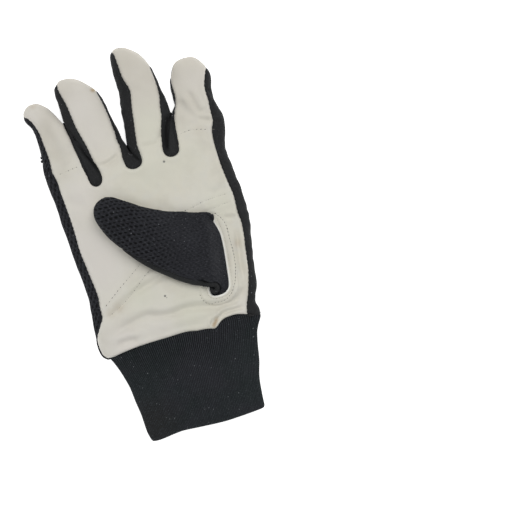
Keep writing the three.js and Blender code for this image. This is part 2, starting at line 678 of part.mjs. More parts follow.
// The cuff: rounded flat sections, ribbed outside, from the hem to the wrist seam
function cuffRib() {
  const rowShares = [0, 0.04, 0.3, 0.6, 0.92, 1];
  const count = ribs * 2;
  const ring = (inner) =>
    rowShares.map((share) =>
      Array.from({ length: count }, (_, j) => {
        const angle = (2 * Math.PI * j) / count;
        const c = Math.cos(angle);
        const s = Math.sin(angle);
        const power = s >= 0 ? 2 / 2.6 : 2 / 4;
        const across = Math.sign(c) * Math.pow(Math.abs(c), power);
        const topSide = s >= 0;
        const plan = lerp(-61, 41, (across + 1) / 2);
        const seamY = wristY(plan, topSide ? "top" : "bottom") - 1.5 * seamGap;
        const hemY = column(
          [{ x: -1, y: hem.leftY }, { x: -0.4, y: hem.midY }, { x: 1, y: hem.rightY }],
          "y",
          across,
          "x",
        );
        const y = lerp(hemY, seamY, share);
        const left = column(cuffRows, "left", y);
        const right = column(cuffRows, "right", y);
        const wide = (right - left) / 2 - (inner ? cuffWall : 0);
        const rise = lerp(cuffRise, cuffRise + 0.6, share) - (inner ? cuffWall : 0);
        const drop = equator - (inner ? cuffWall : 0);
        const rib = inner || j % 2 ? 0 : -ribDepth;
        const z = Math.pow(Math.abs(s), power) * (topSide ? rise : -drop);
        const length = Math.hypot(c, s);
        return new THREE.Vector3(
          (left + right) / 2 + wide * across + (rib * c) / length,
          y,
          equator + z + rib * (topSide ? s : 0),
        );
      }),
    );
  const outer = ring(false);
  const inner = ring(true);
  const loop = [...outer, ...inner.reverse()];
  const position = loop.flat().flatMap((p) => p.toArray());
  const triangles = [];
  for (let i = 0; i < loop.length; i++)
    for (let j = 0; j < count; j++) {
      const [a, b] = [i * count + j, i * count + ((j + 1) % count)];
      const next = (i + 1) % loop.length;
      const [d, c] = [next * count + j, next * count + ((j + 1) % count)];
      triangles.push(a, c, b, a, d, c);
    }
  const geometry = new THREE.BufferGeometry();
  geometry.setAttribute("position", new THREE.Float32BufferAttribute(position, 3));
  geometry.setIndex(triangles);
  geometry.computeVertexNormals();
  return geometry;
}

const curve = (points) => new THREE.SplineCurve(points.map(([x, y]) => new THREE.Vector2(x, y)));
const upperEdge = curve(thumbUpper);
const lowerEdge = curve(thumbLower);
const rowsDown = [...keyholeRows].reverse();
const holeRight = curve([
  [keyholeRows[8].right, keyholeRows[8].y],
  ...rowsDown.slice(1, 6).map((row) => [row.right - thumbRootInset, row.y]),
  [24, -33.6],
  [19, -33],
  [keyholeRows[3].left + thumbRootInset, keyholeRows[3].y],
]);
const holeLeft = curve(rowsDown.slice(0, 6).map((row) => [row.left, row.y]));

// A place in plan on the thumb: along from the keyhole to the tip, across from the upper to the lower edge
function thumbPlan(root, along, across) {
  const upper = upperEdge.getPointAt(along);
  const lower = lowerEdge.getPointAt(along);
  const chord = upperEdge.getPointAt(0).lerp(lowerEdge.getPointAt(0), across);
  const pull = root.getPointAt(across).sub(chord).multiplyScalar((1 - along) ** 6);
  return upper.lerp(lower, across).add(pull);
}

// The thumb's skin: upper face, or the lower one that lies on the palm. Its side seams start just over the
// facing of the keyhole, and between them the upper face dips into the hole.
function thumbPoint(face, along, across) {
  const at = (a, b) => {
    const t = clamp(a, 0, 1);
    const s = clamp(b, 0, 1);
    const plan = thumbPlan(face === "top" ? holeRight : holeLeft, t, s);
    const palm = topZ(plan.x, plan.y);
    const tip = Math.sqrt(1 - clamp((t - 0.84) / 0.16, 0, 1) ** 2);
    const u = Math.abs(2 * s - 1);
    const seam = lerp(palm + rimWall + 3 * seamGap, thumbSeamZ, smoothstep(t, -0.1, 0.12));
    if (face === "bottom") {
      const sunk = Math.sqrt(1 - Math.pow(u, 8)) * tip * smoothstep(t, 0, 0.1);
      return new THREE.Vector3(plan.x, plan.y, lerp(seam - half, palm + 2 * seamGap, sunk));
    }
    const round = Math.pow(1 - Math.pow(u, sectionPower), crownPower);
    const high = seam + half + thumbRise * round * tip * smoothstep(t, -0.3, 0.1);
    const dip = smoothstep(1 - u, 0.1, 0.4) * (1 - smoothstep(t, 0, 0.05));
    return new THREE.Vector3(plan.x, plan.y, lerp(high, palm - 1, dip));
  };
  const step = 0.004;
  const alongStep = at(along + step, across).sub(at(along - step, across));
  const acrossStep = at(along, across + step).sub(at(along, across - step));
  const n = alongStep.cross(acrossStep).normalize();
  if (face === "bottom") n.negate();
  return { p: at(along, across), n };
}

const thumbAlong = [0.004, 0.05, 0.11, 0.2, 0.32, 0.44, 0.56, 0.68, 0.79, 0.87, 0.93, 0.975, 0.997];
const thumbAcross = [0.001, 0.03, 0.1, 0.22, 0.4, 0.6, 0.78, 0.9, 0.97, 0.999];

const thumbWidth = (along) => upperEdge.getPointAt(along).distanceTo(lowerEdge.getPointAt(along));
const stripEnd = 0.68;

// The share of the thumb's width that the knit strip takes on one face
function thumbInset(along, width) {
  return (width * (1 - smoothstep(along, stripEnd - 0.25, stripEnd))) / thumbWidth(along);
}

function thumbSheet(face, width, wall) {
  const rows = thumbAlong.slice(face === "top" ? 0 : 2).map((along) => {
    const gap = along < stripEnd ? (2.5 * seamGap) / thumbWidth(along) : 0;
    const end = 1 - thumbInset(along, width) - gap;
    return thumbAcross.map((across) => thumbPoint(face, along, across * end));
  });
  return walled([rows], wall);
}

// The knit strip on the thumb's lower edge. It ends as a small roll tucked into the bottom of the keyhole.
function thumbSideStrip() {
  const roll = tuck.map(({ x, y, z }) =>
    [160, 130, 100, 70, 40, 10, -20].map((degrees) => {
      const angle = THREE.MathUtils.degToRad(degrees);
      const out = Math.cos(angle);
      const n = new THREE.Vector3(0.3 * out, -0.95 * out, Math.sin(angle)).normalize();
      return { p: new THREE.Vector3(x, y, z).addScaledVector(n, tuckRadius), n };
    }),
  );
  const rows = thumbAlong
    .filter((along) => along > 0.03 && along < stripEnd - 0.03)
    .map((along) => {
      const over = thumbInset(along, thumbStripWidth);
      const under = thumbInset(along, thumbStripUnder);
      return [
        ...[1, 0.6, 0.25, 0.02].map((share) => thumbPoint("top", along, 1 - over * share)),
        ...[0.02, 0.4, 1].map((share) => thumbPoint("bottom", along, 1 - under * share)),
      ];
    });
  return walled([[...roll, ...rows]], thumbStripWall);
}

// The facing round the keyhole: a flat band of leather on the palm, open where the thumb covers it
function thumbHoleRim() {
  const right = rowsDown.slice(0, -1).map((row) => [row.right, row.y]);
  const left = keyholeRows.slice(0, 4).map((row) => [row.left, row.y]);
  const edge = curve([...right, ...left]);
  const rows = Array.from({ length: 27 }, (_, i) => {
    const p = edge.getPointAt(i / 26);
    const tangent = edge.getTangentAt(i / 26);
    return [0.3, rimWidth * 0.5, rimWidth].map((reach) => {
      const point = skin(p.x - tangent.y * reach, p.y + tangent.x * reach, "top");
      point.p.addScaledVector(point.n, seamGap + rimWall);
      return point;
    });
  });
  return walled([rows], rimWall);
}

function material(color, roughness) {
  return new THREE.MeshStandardMaterial({ color, roughness, metalness: 0 });
}

const leather = material(0xcdc9be, 0.7);
const knit = material(0x1c1d1f, 0.9);
const airMesh = material(0x17181b, 0.85);
const ribKnit = material(0x1a1e20, 0.95);

const glove = new THREE.Group();

function add(name, geometry, finish) {
  const mesh = new THREE.Mesh(geometry, finish);
  mesh.name = name;
  glove.add(mesh);
}

add("palm_leather", palmLeather(), leather);
add("back_mesh", backMesh(), airMesh);
gaps.forEach(({ name }, k) => add("fourchette_" + name, fourchette(k), knit));
add("index_side_strip", indexSideStrip(), knit);
add("cuff_rib", cuffRib(), ribKnit);
add("thumb_hole_rim", thumbHoleRim(), leather);
add("thumb_back_mesh", thumbSheet("top", thumbStripWidth, meshWall), airMesh);
add("thumb_front_leather", thumbSheet("bottom", thumbStripUnder, leatherWall), leather);
add("thumb_side_strip", thumbSideStrip(), knit);

// The origin is the centre of the footprint, on the surface that the glove lies on
const extent = new THREE.Box3().setFromObject(glove);
const centre = extent.getCenter(new THREE.Vector3());
glove.position.set(-centre.x, -centre.y, -extent.min.z);

export default glove;
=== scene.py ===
import json
import math

import bpy
import numpy as np
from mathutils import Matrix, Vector

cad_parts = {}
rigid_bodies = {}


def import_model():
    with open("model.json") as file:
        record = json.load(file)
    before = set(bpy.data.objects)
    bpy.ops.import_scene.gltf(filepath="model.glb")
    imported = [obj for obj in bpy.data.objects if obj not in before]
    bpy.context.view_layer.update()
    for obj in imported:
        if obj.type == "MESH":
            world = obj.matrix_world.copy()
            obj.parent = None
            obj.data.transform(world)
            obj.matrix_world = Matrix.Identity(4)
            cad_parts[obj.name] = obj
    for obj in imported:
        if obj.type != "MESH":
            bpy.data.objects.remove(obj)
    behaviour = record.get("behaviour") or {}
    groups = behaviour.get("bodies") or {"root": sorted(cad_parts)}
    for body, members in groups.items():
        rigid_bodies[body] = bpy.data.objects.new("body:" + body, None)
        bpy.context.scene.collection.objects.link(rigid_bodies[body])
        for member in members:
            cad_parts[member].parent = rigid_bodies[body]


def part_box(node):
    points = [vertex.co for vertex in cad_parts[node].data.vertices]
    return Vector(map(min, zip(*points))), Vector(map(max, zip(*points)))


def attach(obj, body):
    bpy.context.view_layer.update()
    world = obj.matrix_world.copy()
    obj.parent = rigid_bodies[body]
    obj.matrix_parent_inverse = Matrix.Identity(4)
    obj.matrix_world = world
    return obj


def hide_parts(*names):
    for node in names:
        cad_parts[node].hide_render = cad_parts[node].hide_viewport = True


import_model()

# A batting inner glove for the right hand, palm up on a table, its thumb folded over the palm

for spare in [o for o in bpy.data.objects if o.name in ("Cube", "Light", "Camera")]:
    bpy.data.objects.remove(spare)
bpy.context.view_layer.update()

# Everything below is drawn in millimetres in the hand's own layout: x to the thumb side, y to the
# fingertips, z up. Two edges of the frame say where that layout lies in it.
thumbTipX, hemLowY = -45.0, -118.0  # the left edge of the thumb and the hem of the cuff in that layout
offset = np.array([
    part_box("thumb_back_mesh")[0][0] * 1000 - thumbTipX,
    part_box("cuff_rib")[0][1] * 1000 - hemLowY,
    0.0,
])

heights = {
    "equator": 5.0,      # widest line of every section
    "palmRise": 9.0,     # top of the palm over the equator
    "cuffRise": 7.0,     # the same at the hem
    "tipRound": 11.0,    # length over which a fingertip falls off
    "sideRadius": 14.0,  # roundness of the palm's sides above the equator
    "rim": 0.9,          # facing round the keyhole
    "thumbSeam": 15.9,   # side seams of the folded thumb
    "thumbRise": 7.5,    # its crown over those
    "backSeam": 3.0,     # how far the strips reach in under the glove
    "lowest": 0.02,      # no point of the cloth lies below this
}
fingersFrom = 52         # y where the tables of the fingers begin, with the palm's below it


# Small curve tools

# From 0 at a to 1 at b along t^2 (3 - 2 t)
def smooth(x, a, b):
    t = np.clip((x - a) / (b - a), 0, 1)
    return t * t * (3 - 2 * t)


# Value at 'at' on a cubic curve through the points (t, v), flat where they turn so it never overshoots
def follow(t, v, at):
    t, v = np.asarray(t, float), np.asarray(v, float)
    slope = np.diff(v) / np.diff(t)
    tangent = np.r_[slope[0], (slope[:-1] + slope[1:]) / 2, slope[-1]]
    tangent[1:-1] = np.where(slope[:-1] * slope[1:] <= 0, 0, tangent[1:-1])
    at = np.clip(at, t[0], t[-1])
    i = np.clip(np.searchsorted(t, at, side="right") - 1, 0, len(t) - 2)
    h = t[i + 1] - t[i]
    s = (at - t[i]) / h
    return ((2 * s**3 - 3 * s**2 + 1) * v[i] + (s**3 - 2 * s**2 + s) * h * tangent[i]
            + (3 * s**2 - 2 * s**3) * v[i + 1] + (s**3 - s**2) * h * tangent[i + 1])


# A smooth line through the points with a point every step along it
def drawLine(points, step):
    p = np.asarray(points, float)
    chord = np.r_[0, np.cumsum(np.linalg.norm(np.diff(p, axis=0), axis=1))]
    fine = np.linspace(0, chord[-1], max(int(chord[-1] / 0.25), 8))
    line = np.stack([follow(chord, p[:, k], fine) for k in range(p.shape[1])], -1)
    run = np.r_[0, np.cumsum(np.linalg.norm(np.diff(line, axis=0), axis=1))]
    even = np.linspace(0, run[-1], max(int(round(run[-1] / step)), 1) + 1)
    return np.stack([np.interp(even, run, line[:, k]) for k in range(p.shape[1])], -1)


# Distance of every (x, y) to a line, how far along it the nearest place is, 0 to 1, and the side
def lineDistance(x, y, points):
    p = np.asarray(points, float)
    best = np.full(np.shape(x), 1e9)
    share = np.zeros(np.shape(x))
    side = np.zeros(np.shape(x))
    for k in range(len(p) - 1):
        d = p[k + 1] - p[k]
        t = np.clip(((x - p[k, 0]) * d[0] + (y - p[k, 1]) * d[1]) / (d @ d), 0, 1)
        ex, ey = x - p[k, 0] - t * d[0], y - p[k, 1] - t * d[1]
        dist = np.hypot(ex, ey)
        near = dist < best
        best = np.where(near, dist, best)
        share = np.where(near, (k + t) / (len(p) - 1), share)
        side = np.where(near, np.sign(d[0] * ey - d[1] * ex), side)
    return best, share, side


# Soft uneven ground, about -1 to 1: sum of sin(2 pi run / length + phase) over waves of many lengths
def waves(x, y, seed, shortest, longest, count=22):
    rng = np.random.default_rng(seed)
    length = np.exp(rng.uniform(np.log(shortest), np.log(longest), count))
    angle = rng.uniform(0, 2 * np.pi, count)
    phase = rng.uniform(0, 2 * np.pi, count)
    total = np.zeros(np.shape(x))
    for k in range(count):
        run = x * np.cos(angle[k]) + y * np.sin(angle[k])
        total += np.sin(2 * np.pi * run / length[k] + phase[k]) * (length[k] / longest) ** 0.5
    return total / np.sqrt(count / 3)


# The outline of the glove as seen from above, and the seams of its leather

palmTable = {  # columns of the table from the wrist seam up
    "y":         [-58.8, -57, -53.3, -48, -44, -38, -32, -26, -20, -13, -5, 3, 10, 20, 30, 42, 50, 55, 60,
                  65, 70, 75, 85, 100],
    "left":      [-61, -63.2, -64.6, -65.2, -65.1, -64.8, -64.3, -63.9, -63.3, -63.5, -64.3, -65.2, -65.8,
                  -66.4, -67.4, -68, -68.8, -69.3, -69.9, -70.2, -69.7, -68.8, -68.9, -72.6],
    "seamLeft":  [-60.8, -62.7, -64.0, -64.3, -63.4, -60.2, -57.3, -57.3, -56.8, -57.3, -58.4, -59.4, -60.2,
                  -60.3, -60.5, -61.5, -62.3, -62.5, -62.9, -64.3, -64.2, -64.4, -65.5, -69],
    "seamRight": [32.4, 32.5, 32.8, 34.2, 35.9, 37.9, 39.5, 40.6, 41.4, 42.4, 43.6, 44.3, 43.5, 43.8, 42.4,
                  40.9, 40.5, 40.4, 40.6, 41.2, 43.3, 43.3, 43.8, 46.3],
    "right":     [41, 40.9, 40.7, 39.5, 40.7, 43, 44.1, 44.7, 45.4, 46.7, 48, 49.4, 50, 49.5, 48.6,
                  47.4, 46.4, 46.9, 48.3, 49.6, 50.2, 49.8, 47.4, 49],
}

# Each side of a finger is a list of (x, y) up to its tip. 'outline' is where the glove ends, 'seam' the
# edge of the leather, and the two run together from the last seam point on.
fingers = [
    {  # little finger
        "rise": 6.6, "tip": (-66, 110.6), "base": (54, 54),
        "left": {
            "outline": [(-69, 52), (-69.3, 55), (-69.9, 60), (-70.2, 65), (-69.7, 70), (-68.8, 75),
                        (-68.8, 80), (-68.9, 85), (-69, 90), (-70, 95), (-71, 97.4), (-72.6, 100),
                        (-73.5, 102.5), (-73.2, 105), (-72, 107.5), (-69.8, 109.6)],
            "seam": [(-62.5, 52), (-62.7, 58), (-63.5, 61.7), (-64.4, 65), (-64.2, 71.7), (-64.4, 75),
                     (-64.9, 80.6), (-65.4, 86), (-65.9, 90.4), (-67.1, 95), (-68.2, 98.3), (-69.4, 100.6),
                     (-71.2, 103), (-73, 105.4)],
        },
        "right": {
            "outline": [(-38.4, 52), (-39, 56), (-40.2, 61), (-42, 66), (-44.6, 71), (-46.2, 75), (-47.4, 80),
                        (-48.3, 85), (-49.2, 90), (-49.9, 93), (-51.5, 96.5), (-53, 99.5), (-55, 103),
                        (-57, 106), (-60, 108.5), (-63, 110.2)],
            "seam": [(-42.6, 52), (-43.2, 56), (-43.4, 59), (-44, 62), (-44.4, 65), (-45.3, 70), (-46.5, 75),
                     (-47.7, 80), (-48.7, 85), (-49.6, 90), (-50.3, 93)],
        },
    },
    {  # ring finger
        "rise": 7.8, "tip": (-43, 121), "base": (54, 58),
        "left": {
            "outline": [(-40.5, 52), (-42.6, 60), (-45.4, 70), (-47.8, 80), (-49, 90), (-49.1, 96),
                        (-49.2, 100), (-49.4, 105), (-49.8, 110), (-50, 113), (-49.8, 115), (-49, 117.2),
                        (-47.7, 118.9), (-45.7, 120.3)],
            "seam": [(-34.2, 52), (-34.5, 57), (-35.3, 60.5), (-36.6, 64), (-37.5, 68), (-38.7, 75),
                     (-40, 80), (-41.3, 85), (-42.5, 90), (-43.2, 95), (-43.9, 100), (-44.7, 105), (-46, 110),
                     (-46.9, 114), (-47.2, 116), (-46.6, 118.4), (-45.4, 120.2)],
        },
        "right": {
            "outline": [(-12.4, 52), (-13, 60), (-14, 68), (-14.8, 70.6), (-15.6, 72.6), (-16.4, 75),
                        (-17.2, 80), (-18.2, 85), (-19.2, 90), (-20.2, 95), (-21.2, 100), (-22.5, 105),
                        (-24.5, 109.4), (-26.5, 112), (-29, 114.5), (-32, 117.2), (-36, 119.5),
                        (-40, 120.7)],
            "seam": [(-17.6, 52), (-18, 58.3), (-18.6, 62.8), (-18.3, 66.7), (-18.3, 70), (-18.9, 73),
                     (-19.2, 76), (-19, 79), (-19.4, 82), (-20, 87), (-20.7, 92), (-21.5, 97), (-22.3, 101),
                     (-23.3, 105), (-24.8, 109.4)],
        },
    },
    {  # middle finger
        "rise": 8.0, "tip": (-3.8, 131.8), "base": (58, 59.5),
        "left": {
            "outline": [(-12.6, 52), (-13, 62), (-13.8, 69), (-13.3, 74), (-12.7, 79.4), (-12.2, 85),
                        (-11.7, 90), (-11.1, 95), (-10.3, 100), (-9.9, 104), (-10.2, 108.3), (-10.4, 113),
                        (-10.4, 118.3), (-10.1, 124), (-9.7, 127.2), (-8.6, 129.4), (-7.2, 130.8)],
            "seam": [(-7, 52), (-6.8, 60), (-7.1, 64), (-7.5, 67.2), (-7.1, 71), (-6.6, 76), (-6, 80.6),
                     (-5.4, 85), (-4.9, 89.4), (-4.3, 93.3), (-3.5, 97.8), (-2.9, 101.7), (-3.1, 104.7),
                     (-4.2, 107.8), (-5.3, 111.7), (-5.8, 115.6), (-6.2, 120.6), (-6.6, 126), (-7.1, 130.9)],
        },
        "right": {
            "outline": [(13.2, 52), (13.6, 62), (15, 70), (16.6, 75.5), (17.9, 80), (18.2, 84), (17.9, 88),
                        (17.5, 91), (16.8, 95), (16.2, 99), (15.6, 103), (15, 107), (14.3, 111),
                        (13.2, 115.5), (12, 118.5), (10.5, 121.5), (8.5, 124.5), (6, 127), (3, 129.2),
                        (0, 130.9)],
            "seam": [(7.8, 52), (7.8, 58), (7.7, 61.5), (8.2, 64.5), (8.7, 67.5), (9.3, 70.5), (10, 73.5),
                     (10.8, 76.5), (11.6, 79), (12.5, 82), (12.9, 86), (13.5, 90), (14.2, 93.5),
                     (14.5, 98), (14.5, 102), (14.2, 106), (13.6, 111), (12.8, 116)],
        },
    },
    {  # index finger
        "rise": 8.0, "tip": (37, 114.6), "base": (59.5, 60),
        "left": {
            "outline": [(12.8, 52), (13, 60), (14.6, 70), (16.5, 76), (18.7, 81), (20.6, 84), (22.3, 86.4),
                        (22.6, 91), (22.6, 95), (22.9, 99), (23.4, 102), (24.4, 104.8), (25.5, 107.5),
                        (27, 110.5), (29, 112.8), (31.8, 114.1)],
            "seam": [(18, 52), (18, 60), (18.3, 67), (18.5, 70), (18.9, 74), (19.5, 77.5), (20.2, 80),
                     (21.2, 82.5), (22.3, 85.3), (23.4, 88.4), (24, 91), (24.2, 94), (24, 97), (23.9, 101),
                     (24.8, 105.4)],
        },
        "right": {
            "outline": [(46.5, 52), (47, 55.5), (48, 59), (49, 62.5), (49.7, 66), (50.2, 70), (50.1, 73.5),
                        (49.2, 78), (48.3, 81), (47.5, 84.5), (47.4, 88), (47.6, 91), (48.1, 94),
                        (48.8, 97), (49.1, 100), (48.7, 103), (47.7, 105.7), (46, 108.7), (44, 111.4),
                        (41.3, 113.7)],
            "seam": [(40.4, 52), (40.5, 58), (40.8, 62), (41.3, 65), (42.1, 67.3), (43.2, 70), (43.4, 75),
                     (43.6, 80), (43.9, 84), (43.6, 88), (43.6, 91), (44, 94.5), (44.8, 97), (46, 100.4),
                     (47.2, 103.6), (47.6, 105.9)],
        },
    },
]

# Between two fingers the leather ends in a round cut, and the glove itself in a crotch further up
gaps = [
    {"name": "ring_little", "cut": 5.1, "crotch": (-49.4, 91.4), "creases": [
        {"line": [(-45.2, 80), (-42.5, 72.5), (-39.7, 66.9), (-37.2, 61.2), (-36.6, 55.4)],
         "near": 0.7, "far": 1.7, "depth": 1.7, "deep": 1}]},
    {"name": "middle_ring", "cut": 4.4, "crotch": (-14.1, 68.4), "creases": [
        {"line": [(-14.2, 70), (-13.2, 65.6), (-11, 61.4), (-8.8, 58.4), (-8.2, 56.6)],
         "near": 0.6, "far": 1.0, "depth": 1.2, "deep": 1}]},
    {"name": "index_middle", "cut": 4.6, "crotch": (18.1, 80.8), "creases": [
        {"line": [(18.4, 82), (15.4, 76), (13.0, 68.7), (11.4, 63.3), (11.2, 58.4)],
         "near": 0.7, "far": 2.6, "depth": 2.2, "deep": -1},
        {"line": [(10.6, 60.8), (12.4, 59.8), (13.8, 58)],
         "near": 0.7, "far": 0.8, "depth": 0.7, "deep": 1}]},
]

seams = {
    "wrist": [(-61, -58.9), (-58, -58.7), (-55, -58.2), (-45, -57), (-40, -56.5), (-30, -56),
              (-20, -55.7), (-10, -55.3), (-5, -55.7), (-1, -56.5), (3, -56.7), (8, -57.5), (10, -58),
              (12, -57.2), (14, -55.4), (17, -53.6), (21, -52.8), (25, -52.7), (29, -53.5), (33, -54.7),
              (36, -56), (41, -57.5)],
    "backWrist": [(-61, -59.9), (-53, -59.7), (-46, -58.4), (32, -58), (41, -57.5)],
}

keyhole = {  # the hole that the thumb comes out of, its left edge under the thumb
    "right": [(18.6, -38.3), (20.6, -38.15), (22.4, -37.7), (24.2, -36.6), (25.4, -35.4), (26.2, -33.8),
              (27, -30), (27.6, -25), (28.2, -19.2), (28.8, -13.3), (29.2, -8.3), (29.4, -3.3), (29.2, 0),
              (28.2, 4.2), (27.2, 8), (27.2, 12.5)],
    "left": [(18.6, -38.3), (16.6, -38.15), (15, -37.7), (13.9, -36.6), (13.4, -35), (13.6, -31), (14.8, -20),
             (17, -8), (19.8, 1), (23, 7), (27.2, 12.5)],
    "facing": 6.2,       # width of the stitched leather band round it
}

cuffTable = {
    "y":     [-118, -112, -106, -99, -91, -86, -79.6, -75.4, -71, -66.5, -62, -58.5, -55],
    "left":  [-46.3, -48.4, -49.2, -49.9, -50.7, -51.2, -52.2, -53.4, -54.9, -56.5, -58, -59.6, -60.6],
    "right": [26.9, 28, 28.6, 29.3, 30.8, 31.9, 32.8, 33.5, 34.6, 35.8, 37.9, 40, 40.8],
    "hem": [(-1, -118), (-0.88, -117.8), (-0.6, -116.4), (-0.45, -115.9), (-0.1, -116.5), (0.3, -117),
            (0.6, -116.5), (1, -115.4)],
}


# x of a finger's outline, drawn over the root of the distance to the tip, so that the tip is round
def sideOf(finger, side, y):
    p = np.array(finger[side]["outline"] + [finger["tip"]], float)
    s = np.sqrt(finger["tip"][1] - p[::-1, 1])
    return follow(s, p[::-1, 0], np.sqrt(np.maximum(finger["tip"][1] - y, 0)))


# A seam's distance from the outline with the small steps of its stitches, none at the round cuts
def uneven(inset, y):
    steps = 0.12 * np.sin(2.1 * y) + 0.1 * np.sin(3.3 * y + 1) * np.sin(0.23 * y)
    return inset + smooth(inset, 0.3, 2) * smooth(np.abs(y - 54.5), 6, 10) * steps


# x of the leather's edge on a finger, which runs out into the outline
def seamOf(finger, side, y):
    p = np.array(finger[side]["seam"], float)
    outline = sideOf(finger, side, y)
    inset = np.abs(follow(p[:, 1], p[:, 0], y) - sideOf(finger, side, np.clip(y, p[0, 1], p[-1, 1])))
    inset = uneven(inset * smooth(p[-1, 1] - y, 0, 3), y)
    return outline + inset if side == "left" else outline - inset


# x of one of the palm's four lines, its seams with their small steps
def palmAt(name, y):
    x = follow(palmTable["y"], palmTable[name], y)
    if name == "seamLeft":
        return palmAt("left", y) + uneven(x - palmAt("left", y), y)
    if name == "seamRight":
        return palmAt("right", y) - uneven(palmAt("right", y) - x, y)
    return x


# y of the seam between hand and cuff at x
def wristY(x, name="wrist"):
    p = np.array(seams[name])
    return follow(p[:, 0], p[:, 1], x)


# x of the keyhole's edge on one side
def holeEdge(side, y):
    p = np.array(keyhole[side])
    return follow(p[:, 1], p[:, 0], y)


# The skin: how high the glove is over every (x, y), before its folds and stitches

# (1 - u^power)^(1/2.2), from 1 in the middle of a section to 0 at its edge
def crown(u, power):
    return np.power(np.clip(1 - np.power(np.clip(u, 0, 1), power), 0, 1), 1 / 2.2)


# x of both outlines of a finger, and further down those of the palm for the two outer ones
def fingerSides(finger, y):
    left, right = sideOf(finger, "left", y), sideOf(finger, "right", y)
    if finger is fingers[0]:
        left = np.where(y < fingersFrom, palmAt("left", y), left)
    if finger is fingers[-1]:
        right = np.where(y < fingersFrom, palmAt("right", y), right)
    return left, right


# rise * sqrt(1 - t^2) * (1 - u^2.5)^(1/2.2), t over the round of the tip and u from middle to edge
def fingerRise(finger, x, y):
    tipY = finger["tip"][1]
    left, right = fingerSides(finger, y)
    wide = np.maximum((right - left) / 2, 1e-3)
    u = np.abs(x - (left + right) / 2) / wide
    t = np.clip((y - tipY + heights["tipRound"]) / heights["tipRound"], 0, 1)
    root = 0.5 + 0.5 * smooth(y, 25, 56)
    rise = finger["rise"] * root * np.sqrt(1 - t * t) * crown(u, 2.5)
    return np.where((u > 1) | (y > tipY), -1.0, rise)


webTable = {  # y at which the palm's rise begins and ends to fall off towards the fingers
    "x":     [-66, -38.6, -14.1, 15, 18.1, 47],
    "start": [46, 48.7, 53.5, 54.9, 55, 56],
    "end":   [97, 86, 68.4, 79.2, 80.8, 86],
}


# rise(y) * (1 - t^1.4) * (1 - u^4)^(1/2.2), t along the webs between the fingers
def palmRise(x, y):
    left, right = palmAt("left", y), palmAt("right", y)
    u = np.abs(x - (left + right) / 2) / ((right - left) / 2)
    start = follow(webTable["x"], webTable["start"], x)
    end = follow(webTable["x"], webTable["end"], x)
    t = np.clip((y - start) / (end - start), 0, 1)
    low = heights["cuffRise"] + 0.8
    rise = low + (heights["palmRise"] - low) * smooth(y, -58, -25)
    return np.where((u > 1) | (y > end), -1.0, rise * (1 - np.power(t, 1.4)) * crown(u, 4))


# Height of the upper skin: (a + b + sqrt((a - b)^2 + e^2)) / 2 of the finger's rise a and the palm's b
def topZ(x, y):
    finger = np.max([fingerRise(f, x, y) for f in fingers], axis=0)
    palm = palmRise(x, y)
    e = 1.5 * np.clip(np.maximum(finger, palm) / 3, 0, 1)
    rise = (finger + palm + np.sqrt((finger - palm) ** 2 + e * e)) / 2
    return heights["equator"] + np.maximum(rise, 0)


# r (1 - sqrt(1 - t^2)): flat on the table, with a quarter circle up to the equator along the outline
def bottomZ(x, y):
    depth = np.minimum(x - palmAt("left", y), palmAt("right", y) - x)
    depth = np.minimum(depth, follow(webTable["x"], webTable["end"], x) - y)
    for f in fingers:
        left, right = fingerSides(f, y)
        inside = np.minimum(x - left, right - x)
        depth = np.maximum(depth, np.where(y > f["tip"][1], f["tip"][1] - y, inside))
    r = heights["equator"]
    t = 1 - np.clip(depth, 0, r) / r
    return r * (1 - np.sqrt(1 - t * t))


# Folds and stitch rows in the leather. Depths and widths in millimetres.

